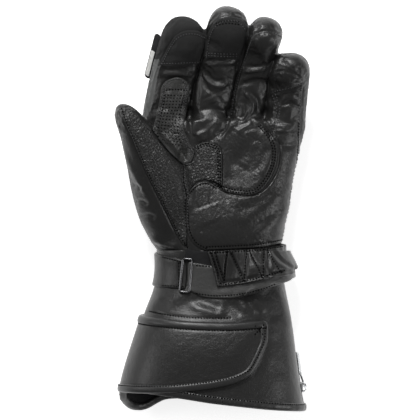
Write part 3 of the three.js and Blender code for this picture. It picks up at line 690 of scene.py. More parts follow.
# %% The table of folds
# Each row: the pixels that the fold passes through, its half width and its height, both in mm.
FOLDS = table("""
index_end_crease 2.0 -1.3 156,70 170,71 186,70 200,66
index_end_roll 1.8 0.5 157,77 172,75 188,76 197,74
index_side_fold 1.8 -0.8 186,100 188,120 192,138
middle_tip_crease 1.3 -0.8 204,63 216,61 230,61 238,57
middle_tip_roll 1.5 0.7 205,67 218,66 231,65 238,62
middle_hook 1.3 1.3 203,72 206,80 213,86 222,87 229,82
middle_hook_shadow 1.6 -1.0 206,71 210,79 217,82 226,80
middle_hook_under 1.8 -0.9 202,82 209,91 219,93 229,89
middle_bulge 4.0 1.0 211,97 214,104
middle_valley 2.4 -1.2 199,112 210,110 226,113
middle_root_roll 2.8 1.1 192,138 204,133 216,123 222,117
middle_root_crease 2.6 -1.0 190,147 206,143 222,131 229,120
ring_tip_crease 1.5 -1.1 243,66 254,68 268,64
ring_tip_roll 1.6 0.8 243,72 255,72 268,69
ring_middle_dip 2.4 -1.1 238,86 252,82 268,80
ring_hook 1.6 1.3 242,91 248,97 252,105 250,114 243,122
ring_hook_shadow 1.8 -1.1 240,99 245,106 244,115 238,121
ring_hook_outside 1.8 -0.9 250,92 258,103 257,116
ring_root_roll 2.2 0.7 236,134 243,128 254,124
little_cap_crease 1.2 -0.6 272,73 286,73 300,80
little_fold_one 1.8 -0.8 279,96 288,94 300,97
little_fold_two 1.8 -0.8 280,107 290,104 301,108
little_fold_ridge 1.6 0.8 280,101 290,99 301,102
little_bulge 4.0 1.2 284,124 284,134
little_root_dip 2.6 -1.0 272,140 284,146 300,144
palm_valley 5.0 -1.1 226,124 229,140 232,158 236,172
palm_roll 4.5 0.8 257,140 250,155 243,170
palm_second_valley 2.6 -0.5 268,146 262,160 254,175
palm_third_roll 2.2 0.45 272,150 268,163 260,176
palm_left_roll 3.0 0.4 218,150 224,165 228,178
heel_fold_one 4.5 0.6 238,226 262,208 288,190
heel_valley_one 4.0 -0.7 232,214 254,204 276,188
heel_fold_two 4.0 0.6 250,238 270,226 290,210
heel_valley_two 3.0 -0.5 246,233 268,216 290,200
heel_bulge 9.0 0.6 205,205 212,225
thumb_ridge 2.2 1.2 121,135 125,153 133,170 142,186 152,203
thumb_ridge_valley 2.6 -1.0 117,140 121,160 130,180 140,200
thumb_notch_one 1.8 -1.1 129,188 136,186 143,190
thumb_notch_two 1.8 -1.1 133,203 141,201 149,206
thumb_notch_three 1.8 -1.0 139,218 148,215 157,219
thumb_base_crease 2.0 -1.2 150,243 165,250 184,252
thumb_base_roll 2.4 0.9 148,236 163,244 182,246
thumb_web_crease 1.6 -1.2 164,147 176,160 187,167 195,164
thumb_web_hollow 5.0 -3.0 178,153 188,155
knuckle_gap_one 2.2 -0.8 186,132 191,140 195,146
gap_run_one 2.0 -1.5 190,106 190,118 192,130 196,144
gap_run_two 2.0 -1.5 229,106 228,118 224,129 216,138
gap_run_three 2.0 -1.3 264,106 264,118 267,130 273,142
""")

# Each row: the line between two fingers. Both fingers swell towards it, so that the gap stays narrow.
FINGER_LINES = [
    pixel_run("208,30 204,46 199,64 194,88 190,114"),
    pixel_run("250,24 249,38 243,58 236,84 229,114"),
    pixel_run("283,48 277,58 270,74 267,92 264,114"),
]
LINE_SIDE = 3.3
LINE_SWELL = 1.1

# Each row: the seam's pixels and the depth of its groove in mm.
SEAMS = table("""
thumb_long_seam 0.9 121,110 126,125 133,140 141,160 150,180 165,210 178,236 186,248
thumb_tip_seam 0.6 115,113 120,109 126,108 133,111
index_side_seam 0.6 165,54 159,66 155,80 152,95 149,112
ring_cap_seam 0.7 250,37 259,34 270,33 282,37
ring_left_seam 0.6 250,40 243,60 237,78 233,96 230,114
little_cap_seam 0.7 270,71 279,68 288,71 297,77 303,85
little_side_seam 0.7 303,85 302,100 301,125 300,150 298,170
little_cross_seam 0.8 273,94 282,92 291,90 301,86
little_left_seam 0.6 274,96 277,104 278,112 275,124 273,134
middle_cap_seam 0.7 208,36 213,26 221,20 232,19 242,22 249,30
""")
print("folds:", len(FOLDS), "- seams:", len(SEAMS))

# %% Press them into the surface
SEAM_HALF_WIDTH = 0.9 * MM
LINE_STEP = 1.5 * MM


def press(points, normals, rows, fade=0.22):
    """How far each point moves along its normal under rows of (pixels, half width, height)."""
    move = np.zeros(len(points))
    facing = np.clip((normals[:, 2] - 0.02) / 0.35, 0, 1)
    for pixels, half_width, height in rows:
        line = curve_through(spots(pixels), LINE_STEP)
        reach = 3.2 * half_width * MM
        low, high = line.min(0) - reach, line.max(0) + reach
        near = np.all((points[:, :2] > low) & (points[:, :2] < high), axis=1) & (facing > 0)
        if not near.any():
            continue
        distance, share, _ = line_distance(points[near, :2], line)
        ends = smooth_share(np.minimum(share, 1 - share) / fade)
        move[near] += height * MM * np.exp(-(distance / (half_width * MM)) ** 2) * ends * facing[near]
    return move


def press_folds(piece):
    """Presses every fold and seam into a piece's mesh."""
    places = points_of(piece.data)
    out = normals_of(piece.data)
    move = press(places, out, FOLDS.values())
    grooves = [(pixels, SEAM_HALF_WIDTH / MM, -depth) for pixels, depth in SEAMS.values()]
    move += press(places, out, grooves, 0.04)
    flanks = [([(x + side, y) for x, y in line], 2.1, LINE_SWELL)
              for line in FINGER_LINES for side in (-LINE_SIDE, LINE_SIDE)]
    move += press(places, out, flanks, 0.2)
    set_points(piece.data, places + out * move[:, None])
    return move


pressed = press_folds(skin)
print("pressed in by", round(-pressed.min() / MM, 1), "mm, out by", round(pressed.max() / MM, 1), "mm")

# %% [markdown]
# ## Let the hide settle
# A short cloth simulation lets the skin settle as hide over padding does. Slight pressure fills it from
# inside, seams and the back of the hand are held, and the hide may stretch a little. The simulated move
# is kept small, so that the glove's form stays true, and it's added to the folds that were drawn.

# %% Simulate the hide
SETTLE_FRAMES = 12
SETTLE_CAP = 1.3 * MM
SETTLE_PRESSURE = 4
PALM_HOLD = 0.55


def settle(piece):
    """Runs the cloth simulation on a copy and adds its capped move to the piece."""
    places = points_of(piece.data)
    normals = normals_of(piece.data)
    copy = place_object("settling", piece.data.copy())
    held = copy.vertex_groups.new(name="held")
    hold = np.clip((0.25 - normals[:, 2]) / 0.35, 0, 1)
    hold = np.maximum(hold, np.clip((wrist_y + 10 * MM - places[:, 1]) / (6 * MM), 0, 1))
    palm = np.clip((spot(0, 128)[1] - places[:, 1]) / (12 * MM), 0, 1)
    hold = np.maximum(hold, PALM_HOLD * palm)
    for pixels, _ in SEAMS.values():
        line = curve_through(spots(pixels), LINE_STEP)
        low, high = line.min(0) - 4 * MM, line.max(0) + 4 * MM
        near = np.all((places[:, :2] > low) & (places[:, :2] < high), axis=1)
        distance = line_distance(places[near, :2], line)[0]
        hold[near] = np.maximum(hold[near], np.exp(-(distance / (1.5 * MM)) ** 2))
    steps = np.round(hold * 10).astype(int)
    for step in range(1, 11):
        held.add(np.flatnonzero(steps == step).tolist(), step / 10, "REPLACE")
    cloth = copy.modifiers.new("cloth", "CLOTH")
    assign(cloth.settings, quality=4, mass=0.25, tension_stiffness=12, compression_stiffness=12,
           shear_stiffness=6, bending_stiffness=0.4, air_damping=3, use_pressure=True,
           uniform_pressure_force=SETTLE_PRESSURE, shrink_min=-0.035, vertex_group_mass="held",
           pin_stiffness=1)
    cloth.settings.effector_weights.gravity = 0
    assign(cloth.collision_settings, use_collision=False, use_self_collision=False)
    for clock in (cloth.point_cache, scene):
        assign(clock, frame_start=1, frame_end=SETTLE_FRAMES)
    for frame in range(1, SETTLE_FRAMES + 1):
        scene.frame_set(frame)
    shape = copy.evaluated_get(bpy.context.evaluated_depsgraph_get()).to_mesh()
    settled = points_of(shape)
    scene.frame_set(1)
    bpy.data.objects.remove(copy, do_unlink=True)
    move = settled - places
    length = np.maximum(np.linalg.norm(move, axis=1), 1e-9)
    capped = SETTLE_CAP * np.tanh(length / SETTLE_CAP)
    set_points(piece.data, places + move * (capped / length)[:, None])
    return length


moved = settle(skin)
print("settled by", round(float(np.median(moved)) / MM, 2), "mm, at most",
      round(float(moved.max()) / MM, 1), "mm")

# %% [markdown]
# ## The wrist end of the skin
# The voxel remesh needed a plug in the wrist. A real glove is open there, so the plug's faces come off
# and the rim is turned in and runs a little way back inside, which gives the hide a wall at its edge.

# %% Open the wrist
PLUG_DEPTH = 6.5 * MM
HIDE_WALL = 2 * MM
TURN_IN = 14 * MM


def open_wrist(piece):
    """Takes the plug away and turns the rim in."""
    with opened(piece) as shell:
        cut = wrist_y - PLUG_DEPTH
        bmesh.ops.delete(shell, geom=[v for v in shell.verts if v.co.y < cut], context="VERTS")
        rim = [e for e in shell.edges if e.is_boundary]
        middle = sum((v.co for e in rim for v in e.verts), Vector()) / (2 * len(rim))
        for inward, back in ((HIDE_WALL, 0), (0, TURN_IN)):
            grown = bmesh.ops.extrude_edge_only(shell, edges=rim)["geom"]
            rim = [g for g in grown if isinstance(g, bmesh.types.BMEdge) and g.is_boundary]
            for vertex in {v for e in rim for v in e.verts}:
                vertex.co += ((middle - vertex.co) * Vector((1, 0, 1))).normalized() * inward
                vertex.co.y += back


open_wrist(skin)
skin.data.shade_smooth()
print("wrist opened at y =", round((wrist_y - PLUG_DEPTH) / MM), "mm")

# %% [markdown]
# ## The gauntlet
# The gauntlet is a tube that widens to the hem, so it is made on a grid: an angle round the arm and a
# share of the way to the hem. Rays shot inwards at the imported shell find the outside, a blur takes its
# facets away, and a second layer inside is the lining that shows in the mouth.

# %% Read the gauntlet's form
ROUND_STEPS = 300
LENGTH_STEPS = 130
GAUNTLET_WALL = 3 * MM
FAR = 0.3

gauntlet_shell = merged_copy("gauntlet", "hem_binding")
gauntlet_tree = BVHTree.FromBMesh(gauntlet_shell)
hem_shell = merged_copy("hem_binding")
hem_points = array_of(v.co for v in hem_shell.verts)
gauntlet_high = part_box("gauntlet")[1]
top_points = array_of(v.co for v in gauntlet_shell.verts if v.co.y > gauntlet_high.y - NEAR)
hem_middle = (hem_points.max(0) + hem_points.min(0)) / 2
top_middle = (top_points.max(0) + top_points.min(0)) / 2


def arm_middle(y):
    """The middle of the arm at a height along the glove."""
    share = np.clip((y - top_middle[1]) / (hem_middle[1] - top_middle[1]), -0.5, 1.4)
    return top_middle + (hem_middle - top_middle) * share


def cast_in(tree, y, angle):
    """What a ray finds that comes in towards the arm's middle at an angle, 0 on the little-finger side."""
    middle = Vector(arm_middle(y))
    middle.y = y
    ahead = Vector((math.cos(angle), 0, math.sin(angle)))
    place, normal, _, _ = tree.ray_cast(middle + ahead * FAR, -ahead)
    if place is not None and (place - middle).dot(ahead) < 0:
        place, normal = None, None
    return place, normal, middle, ahead


angles = np.linspace(0, math.tau, ROUND_STEPS, endpoint=False)


def hem_line():
    """The hem's edge for each angle: the lowest packed points near that angle."""
    heights = np.arange(hem_points[:, 1].min(), hem_middle[1] + 40 * MM, 0.5 * MM)
    low = []
    for angle in angles:
        found = (y for y in heights if cast_in(gauntlet_tree, y, angle)[0] is not None)
        low.append(next(found, hem_middle[1]))
    return np.array(low)


def blur(values, width, axis, ends, times=3):
    """A running mean along an axis. ends says how np.pad goes on past the ends."""
    kernel = np.ones(2 * width + 1) / (2 * width + 1)
    for _ in range(times):
        values = np.apply_along_axis(
            lambda line: np.convolve(np.pad(line, width, mode=ends), kernel, "valid"), axis, values)
    return values


# The hem's lower edge in pixels, on the palm's side and on the back, where it shows at the rolled corner.
HEM_FRONT = pixel_run("112,389 135,391 155,393 185,397 210,401 235,404 272,408 310,411")
HEM_BACK = pixel_run("112,394 120,404 127,411 135,413 142,412 149,407 157,401 185,400 210,403 235,406 "
                  "272,409 310,411")


def drawn_hem(packed):
    """The hem's edge for each angle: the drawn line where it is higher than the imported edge."""
    edge = packed.copy()
    for column, angle in enumerate(angles):
        place, _, _, _ = cast_in(gauntlet_tree, packed[column] + 3 * MM, angle)
        if place is None:
            continue
        rows = HEM_FRONT if angle < math.pi else HEM_BACK
        pixel = place.x / PIXEL + PIXEL_OVER_ORIGIN[0]
        height = np.interp(pixel, [x for x, _ in rows], [y for _, y in rows])
        edge[column] = max(edge[column], spot(pixel, height)[1])
    return edge


hem_edge = blur(drawn_hem(hem_line()), 3, 0, "wrap", 2)
shares = np.linspace(0, 1, LENGTH_STEPS)
grid_y = gauntlet_high.y + (hem_edge[None, :] - gauntlet_high.y) * shares[:, None]
reach = np.zeros_like(grid_y)
for row in range(LENGTH_STEPS):
    for column, angle in enumerate(angles):
        y = min(max(grid_y[row, column], hem_edge[column] + 1.5 * MM), gauntlet_high.y - 0.5 * MM)
        place, _, middle, _ = cast_in(gauntlet_tree, y, angle)
        reach[row, column] = (place - middle).length if place else np.nan
for row in range(LENGTH_STEPS):
    known = ~np.isnan(reach[row])
    reach[row] = np.interp(np.arange(ROUND_STEPS), np.flatnonzero(known), reach[row][known])
reach = blur(blur(reach, 5, 1, "wrap"), 4, 0, "edge")
print("hem from", round(hem_edge.min() / MM), "to", round(hem_edge.max() / MM), "mm")

# %% Fold it and give it a wall
GAUNTLET_FOLDS = table("""
thumb_side_roll 4.1 0.81 170,303 182,295 196,291
strap_valley 3.2 -0.81 192,297 206,303 222,309
strap_roll 3.5 1.05 188,303 206,309 228,314
middle_roll 3.0 0.99 232,294 240,302 248,312
middle_valley 3.2 -0.74 225,300 234,308 242,316
second_roll 3.0 0.99 248,290 256,301 266,313
second_valley 2.7 -0.81 242,292 250,303 258,314
right_valley 4.6 -0.87 262,288 270,304 276,322
right_roll 5.4 0.81 276,286 284,304 290,330
long_right_valley 6.8 -0.62 272,330 276,355 278,380
left_roll 3.5 0.62 163,296 155,303 150,311
under_flap_shadow 2.7 -0.56 268,318 268,342 259,366 248,384
""")


def face_outward(piece):
    """Turns a closed mesh's faces to look outward."""
    with opened(piece) as shell:
        bmesh.ops.recalc_face_normals(shell, faces=shell.faces)
        if shell.calc_volume(signed=True) < 0:
            bmesh.ops.reverse_faces(shell, faces=shell.faces)
    return piece


def ring_points(y, angle, distance):
    """Places on the gauntlet from heights, angles and distances from the arm's middle."""
    middle = arm_middle(y.reshape(-1, 1)).reshape(*y.shape, 3)
    x = middle[..., 0] + np.cos(angle) * distance
    z = middle[..., 2] + np.sin(angle) * distance
    return np.stack([x, y, z], -1)


outer = ring_points(grid_y, angles[None, :], reach).reshape(-1, 3)
folded = press(outer, np.tile(UP, (len(outer), 1)) * (outer[:, 2:] > hem_middle[2]), GAUNTLET_FOLDS.values())
reach += folded.reshape(reach.shape)


def grid_faces(rows, columns, flip=False):
    """Faces of a tube's grid of rows of points."""
    faces = []
    for i in range(rows - 1):
        for j in range(columns):
            k, below = (j + 1) % columns, (i + 1) * columns
            face = [i * columns + j, i * columns + k, below + k, below + j]
            faces.append(face[::-1] if flip else face)
    return faces


def end_faces(rows, columns):
    """The two faces that close a tube's ends."""
    return [list(range(columns))[::-1], [(rows - 1) * columns + j for j in range(columns)]]


def make_gauntlet():
    """The gauntlet's outside, its mouth's edge and its lining, as one closed wall."""
    outside = ring_points(grid_y, angles[None, :], reach)
    outside[..., 2] = np.maximum(outside[..., 2], 0.3 * MM)
    inside = ring_points(grid_y, angles[None, :], reach - GAUNTLET_WALL)
    inside[..., 2] = np.maximum(inside[..., 2], GAUNTLET_WALL)
    loop = np.concatenate([outside, inside[::-1]])
    rows = len(loop)
    faces = grid_faces(rows, ROUND_STEPS, flip=True)
    last = (rows - 1) * ROUND_STEPS
    faces += [[j, (j + 1) % ROUND_STEPS, last + (j + 1) % ROUND_STEPS, last + j] for j in range(ROUND_STEPS)]
    piece = make_mesh("gauntlet_hide", loop.reshape(-1, 3), faces)
    piece.data.materials.append(smooth_hide)
    piece.data.materials.append(tape_weave)
    outer_faces = (LENGTH_STEPS - 1) * ROUND_STEPS
    lined = np.arange(len(faces)) >= outer_faces + ROUND_STEPS
    piece.data.polygons.foreach_set("material_index", lined.astype(np.int32))
    return face_outward(piece)


gauntlet = keep(make_gauntlet(), "leather", "gauntlet")

# %% [markdown]
# ## Panels that lie on the hide
# A panel of a glove is a thin piece of hide with its own outline. It is cut on a flat sheet first: points
# inside the outline are joined into triangles, then each point is dropped on to what lies below and
# lifted by the hide's thickness, which falls away in a round at the cut edge. The underside closes it.

# %% Dropping points on what lies below


def drop_from_above(tree):
    """Finds the place and direction of a surface under flat points."""
    return lambda flat: tree.ray_cast(Vector((flat[0], flat[1], FAR)), Vector((0, 0, -1)))[:2]


WRAP_RADIUS = 50 * MM


def drop_round_arm(tree):
    """The same for points (round, along) wrapped round the arm. round is 0 at the little-finger side."""
    return lambda flat: cast_in(tree, flat[1], -flat[0] / WRAP_RADIUS)[:2]


def round_arm(tree, px, py):
    """A photograph's pixel as a wrapped point."""
    x, y = spot(px, py)
    place = drop_from_above(tree)((x, y))[0]
    middle = arm_middle(y)
    angle = math.atan2(place.z - middle[2], place.x - middle[0])
    return (-(angle % math.tau) * WRAP_RADIUS, y)


PITCH = 1.1 * MM
EDGE_SHARES = (0.15, 0.45, 1.0)


def lay_panel(name, outline, find, thickness, material, edge=0.9 * MM, lift=None, pitch=PITCH, sink=0.5 * MM):
    """A panel cut to an outline and laid on what find finds. lift gives extra height at flat points."""
    area = np.sum(outline[:, 0] * np.roll(outline[:, 1], -1) - outline[:, 1] * np.roll(outline[:, 0], -1))
    loop = outline if area > 0 else outline[::-1]
    ahead = unit(np.roll(loop, -1, 0) - np.roll(loop, 1, 0))
    inward = np.stack([-ahead[:, 1], ahead[:, 0]], 1)
    rings = []
    for share in EDGE_SHARES:
        ring = loop + inward * edge * share
        clear = inside_loop(ring, loop) & (loop_distance(ring, loop) > 0.8 * edge * share)
        rings.append(ring[clear])
    low, high = loop.min(0), loop.max(0)
    rows = np.arange(low[1], high[1], pitch * 0.87)
    inner = np.array([
        (x, y) for i, y in enumerate(rows) for x in np.arange(low[0] + (i % 2) * pitch / 2, high[0], pitch)
    ])
    inner = inner[inside_loop(inner, loop)]
    inner = inner[loop_distance(inner, loop) > edge + 0.6 * pitch]
    flat = np.concatenate([loop, *rings, inner])
    count = len(loop)
    rim = [(i, (i + 1) % count) for i in range(count)]
    made = delaunay_2d_cdt([Vector(p) for p in flat], rim, [], 1, 1e-7)
    flat = array_of(made[0])
    triangles = [list(f) for f in made[2]]
    away = loop_distance(flat, loop)
    rise = thickness * np.sqrt(np.clip(1 - (1 - np.clip(away / edge, 0, 1)) ** 2, 0, 1))
    if lift:
        rise = rise + lift(flat, away)
    top, out = np.zeros((2, len(flat), 3))
    for i, point in enumerate(flat):
        place, normal = find(point)
        if place is not None:
            top[i], out[i] = place, normal
    usable = np.any(out, axis=1)
    triangles = [t for t in triangles if usable[t].all()]
    under = top - out * sink
    on_rim = away < 1e-6
    top = top + out * np.where(on_rim, -0.1 * MM, rise)[:, None]
    shift = len(flat)
    below = [[i if on_rim[i] else i + shift for i in reversed(t)] for t in triangles]
    piece = make_mesh(name, np.concatenate([top, under]), triangles + below, material)
    with opened(piece) as shell:
        bmesh.ops.delete(shell, geom=[v for v in shell.verts if not v.link_faces], context="VERTS")
    face_outward(piece)
    piece.data.shade_smooth()
    if not usable.all():
        print(f"{name}: {np.sum(~usable)} points found nothing below")
    return piece


skin_tree = tree_of(skin)
on_skin = drop_from_above(skin_tree)
print("ready to lay panels")

# %% [markdown]
# ## The palm's panels
# Three panels meet in the palm: a smooth one in the middle that runs up to the fingers, a heel panel
# over its lower edge, and a pebbled keystone by the thumb, where a bar or grip rubs most. Where a panel
# runs on without a seam, its lift fades out, so that no edge shows there.

# %% Palm and heel
STEP = 1.2 * MM
HIDE = 1.1 * MM


def fading_lift(start, end):
    """Takes the hide's thickness away again between two pixels, towards where a panel runs on."""
    first, last = np.array(spot(*start)), np.array(spot(*end))
    along = last - first
    return lambda flat, away: -smooth_share((flat - first) @ along / (along @ along)) * (HIDE + 0.25 * MM)


def sewn(name, slot, node, runs, thickness, material, place=spots, find=on_skin, **more):
    """A panel cut to runs of pixels, laid on what find finds and kept."""
    piece = lay_panel(name, joined(runs, STEP, place), find, thickness, material, **more)
    return keep(piece, slot, *node.split())


PALM_RUNS = outline("209,184 222,191 240,195 255,194 267,183 275,167 277,150 272,136 262,124 / "
                    "246,116 229,116 210,124 194,138 / 205,143 216,145 222,152 223,165 222,188 /")
palm_panel = sewn("palm_panel", "leather", "palm_patch", PALM_RUNS, HIDE, smooth_hide,
                  lift=fading_lift((246, 150), (232, 124)))

HEEL_RUNS = outline("205,250 195,244 188,232 186,214 186,200 190,190 199,183 209,182 217,187 "
                    "226,193 240,197 256,195 269,185 278,168 280,150 276,135 270,127 / 286,122 "
                    "301,124 / 300,150 297,176 292,198 294,216 291,234 283,243 / 262,247 232,249")
heel_panel = sewn("heel_panel", "leather", "heel_patch", HEEL_RUNS, HIDE, smooth_hide,
                  lift=fading_lift((290, 160), (290, 128)))

# %% Keystone and thumb
KEYSTONE_RUNS = outline("195,146 205,142 215,144 221,150 222,165 222,187 / 213,182 203,180 193,185 "
                        "187,196 / 184,180 184,167 / 192,162 196,154")
keystone = sewn("keystone_panel", "grained_leather", "grip_panel", KEYSTONE_RUNS, 1.0 * MM, pebbled_hide)

THUMB_RUNS = outline("122,111 127,125 134,140 142,160 151,180 166,210 178,235 186,247 / 187,232 "
                     "185,212 185,196 183,180 183,167 / 173,158 162,146 150,131 138,116 130,108 /")
thumb_panel = sewn("thumb_grip", "grained_leather", "thumb_panel", THUMB_RUNS, 1.0 * MM, pebbled_hide)

# %% The index patch and the fingertips
INDEX_PATCH_RUNS = outline("161,93 162,87 167,81 177,78 186,81 189,88 189,95 186,112 184,128 "
                           "189,142 195,152 / 190,163 180,162 168,150 153,131 / 156,118 159,105")
index_patch = sewn("index_patch_hide", "perforated_leather", "index_patch", INDEX_PATCH_RUNS, 1.2 * MM,
                   patch_hide)

INDEX_TIP_RUNS = outline("158,66 164,57 170,46 176,38 186,33 197,33 207,37 / 205,50 201,64 / 188,66 "
                         "172,67")
index_tip = sewn("index_touch_panel", "textile", "index_tip_panel", INDEX_TIP_RUNS, 0.8 * MM, touch_weave)

MIDDLE_TIP_RUNS = outline("203,58 206,44 210,31 217,23 227,20 239,21 247,28 249,38 / 243,50 238,61 "
                          "/ 221,60")
middle_tip = sewn("middle_touch_panel", "textile", "middle_tip_panel", MIDDLE_TIP_RUNS, 0.8 * MM,
                  touch_weave)

# %% [markdown]
# ## Tape, straps and the flap
# These pieces wrap round the arm, so they are cut flat in wrapped places and rays come in towards the
# arm's middle. A bound edge is a round tape that is swept along the edge, and a strap is a panel too.

# %% Wrapped outlines
arm_tree = tree_of(skin, gauntlet)
round_the_arm = drop_round_arm(arm_tree)
from_above_arm = drop_from_above(arm_tree)


def wrapped(run):
    """Wrapped places of a run. A row is a pixel, or an angle in degrees, a pixel's height and SIDE."""
    places = []
    for row in run:
        if len(row) == 3:
            places.append((-math.radians(row[0]) * WRAP_RADIUS, spot(0, row[1])[1]))
        elif from_above_arm(spot(*row))[0] is None:
            angle = math.radians(6 if row[0] > 212 else 174)
            places.append((-angle * WRAP_RADIUS, spot(*row)[1]))
        else:
            places.append(round_arm(arm_tree, *row))
    return np.array(places)


def sweep(name, path, outs, breadth, height, material, closed=False, square=2.4, sides=14):
    """A tape or bar: a squared oval carried along a path, with a direction out of the surface."""
    ahead = unit(np.roll(path, -1, 0) - np.roll(path, 1, 0) if closed else np.gradient(path, axis=0))
    across = unit(np.cross(ahead, outs))
    up = np.cross(across, ahead)
    turn = np.linspace(0, math.tau, sides, endpoint=False)
    wide = np.sign(np.cos(turn)) * np.abs(np.cos(turn)) ** (2 / square) * breadth / 2
    high = np.sign(np.sin(turn)) * np.abs(np.sin(turn)) ** (2 / square) * height / 2
    rings = path[:, None] + across[:, None] * wide[None, :, None] + up[:, None] * high[None, :, None]
    if not closed:
        start = path[:1, None] + (rings[:1] - path[:1, None]) * 0.5 - ahead[:1, None] * height * 0.2
        end = path[-1:, None] + (rings[-1:] - path[-1:, None]) * 0.5 + ahead[-1:, None] * height * 0.2
        rings = np.concatenate([start, rings, end])
    count = len(rings)
    faces = grid_faces(count, sides)
    if closed:
        last = (count - 1) * sides
        faces += [[last + j, last + (j + 1) % sides, (j + 1) % sides, j] for j in range(sides)]
    else:
        faces += end_faces(count, sides)
    piece = face_outward(make_mesh(name, rings.reshape(-1, 3), faces, material))
    piece.data.shade_smooth()
    return piece


def on_surface(flat, find, lift):
    """Places and directions on what find finds under a flat line."""
    found = [find(p) for p in flat]
    found = [(p, n) for p, n in found if p is not None]
    outs = array_of(n for _, n in found)
    for _ in range(3):
        outs[1:-1] = (outs[:-2] + outs[1:-1] * 2 + outs[2:]) / 4
    outs = unit(outs)
    return array_of(p for p, _ in found) + outs * lift, outs


def join_pieces(name, pieces):
    """Several meshes as one piece."""
    bpy.ops.object.select_all(action="DESELECT")
    for piece in pieces:
        piece.select_set(True)
    bpy.context.view_layer.objects.active = pieces[0]
    bpy.ops.object.join()
    pieces[0].name = name
    return pieces[0]


# %% The hem's tape
TAPE_BREADTH = 6.4 * MM
TAPE_BEAD = 1.4 * MM


def make_hem_tape():
    """A tape folded over the hem's edge, all round it."""
    y = hem_edge + TAPE_BREADTH / 2
    edge_reach = reach[-1] - GAUNTLET_WALL / 2
    ripple = 0.12 * MM * np.sin(angles * 70) + 0.1 * MM * np.sin(angles * 41 + 1)
    path = ring_points(y, angles, edge_reach + ripple)
    outs = np.stack([np.cos(angles), np.zeros(ROUND_STEPS), np.sin(angles)], 1)
    tape = sweep("hem_tape", path, outs, TAPE_BREADTH, GAUNTLET_WALL + 2 * TAPE_BEAD, tape_hide, True, 3)
    places = points_of(tape.data)
    places[:, 2] = np.maximum(places[:, 2], 0.1 * MM)
    set_points(tape.data, places)
    return tape


hem_tape = keep(make_hem_tape(), "leather_tape", "hem_binding")

# %% The flap and its bound edge
FLAP_THICKNESS = 2.2 * MM
FLAP_TOP = pixel_run("@206,316 @190,315 150,317 190,321 230,322 260,320")
FLAP_CORNER = pixel_run("260,320 265,321 267,325")
FLAP_END = pixel_run("267,325 266,340 261,354 253,369 246,376 232,382 214,386 190,389 165,391 140,392 "
                  "@186,393 @206,394")
FLAP_SIDE = pixel_run("@206,394 @206,355 @206,316")

flap_outline = joined([FLAP_TOP, FLAP_CORNER, FLAP_END, FLAP_SIDE], STEP, wrapped)
flap = lay_panel("gauntlet_flap_hide", flap_outline, round_the_arm, FLAP_THICKNESS, smooth_hide,
                 edge=1.5 * MM)
keep(flap, "leather", "gauntlet_flap")

edge_runs = [curve_through(wrapped(run), STEP)[:-1] for run in (FLAP_TOP, FLAP_CORNER, FLAP_END)]
flap_edge = np.concatenate(edge_runs)
EDGE_INSET = 3.0 * MM
binding_line = curve_through(offset_line(flap_edge, -EDGE_INSET)[::5], STEP)
binding_path, binding_outs = on_surface(binding_line, round_the_arm, 1.2 * MM)
flap_tape = sweep("flap_tape", binding_path, binding_outs, 6.6 * MM, 4.6 * MM, tape_hide, square=2.6)
keep(flap_tape, "leather_tape", "flap_binding")

# %% The wrist strap in two stretches
STRAP_THICKNESS = 2.0 * MM
PUFF_HEIGHT = 7.5 * MM
PUFF_ANGLE = math.radians(8)
PUFF_EDGE = 0.55
PUFF_FROM = 6 * MM
PUFF_RUN = 22 * MM


def puff(flat):
    """How far strap and gathers stand off the wrist towards the little finger."""
    angle = -flat[:, 0] / WRAP_RADIUS
    downward = smooth_share((wrist_y + PUFF_FROM - flat[:, 1]) / PUFF_RUN)
    sideways = smooth_share((np.cos(angle - PUFF_ANGLE) - PUFF_EDGE) / (1 - PUFF_EDGE))
    return PUFF_HEIGHT * downward * sideways


ANCHOR_RUNS = outline("@206,249 @186,252 170,256 184,260 / 186,263 187,275 186,287 184,289 / "
                      "170,288 @184,286 @206,284 / @206,266")
anchor = sewn("strap_anchor_hide", "leather", "strap_anchor", ANCHOR_RUNS, STRAP_THICKNESS, smooth_hide,
              wrapped, round_the_arm, edge=1.2 * MM)

STRAP_RUNS = outline("189,261 200,263 215,265 240,262 265,257 290,252 @-14,250 / @-16,265 @-14,279 "
                     "/ @4,280 280,283 262,290 248,295 230,298 205,297 190,291 / 188,285 188,268")
# The strap past the ring is lighter than its anchor: painted light, from its lighter copy of the hide.
strap = sewn("wrist_strap_hide", "leather", "wrist_strap", STRAP_RUNS, STRAP_THICKNESS, lit_strap_hide,
             wrapped, round_the_arm, edge=1.2 * MM, lift=lambda flat, away: puff(flat))

# %% The gathered panel over the strap
GATHER_LIFT = 2.2 * MM
GATHER_RUNS = outline("207,250 232,249 262,247 283,243 292,243 @-14,244 / @-16,256 @-14,269 / "
                      "@4,271 286,275 262,281 240,285 217,287 / 213,270")
ZIGZAG = [
    pixel_run("227,252 225,267 224,282"),
    pixel_run("230,251 237,266 243,280"),
    pixel_run("247,249 245,264 244,280"),
    pixel_run("249,250 256,264 262,277"),
    pixel_run("264,248 263,263 263,277"),
    pixel_run("267,250 274,262 281,272"),
]
GATHER_EDGE_ROW = [[(211, 253), (217, 270), (221, 283), (240, 281), (262, 276), (284, 270)],
                   [(215, 253), (220, 269), (224, 280)]]
QUILT_WIDTH = 2.6 * MM
QUILT_HEIGHT = 1.1 * MM

quilt_lines = [wrapped(line) for line in (*ZIGZAG, *GATHER_EDGE_ROW)]


def gathered(flat, away):
    """The panel's stand-off, with a puff between its lines of stitches and small gathers at its hem."""
    near = np.min([line_distance(flat, line)[0] for line in quilt_lines], axis=0)
    quilt = QUILT_HEIGHT * (smooth_share(near / QUILT_WIDTH) - 0.35)
    ruffle = 0.35 * MM * np.sin(flat[:, 0] / (0.9 * MM) + 2 * np.sin(flat[:, 1] / (6 * MM)))
    return GATHER_LIFT + puff(flat) + quilt + ruffle * np.exp(-away / (5 * MM))


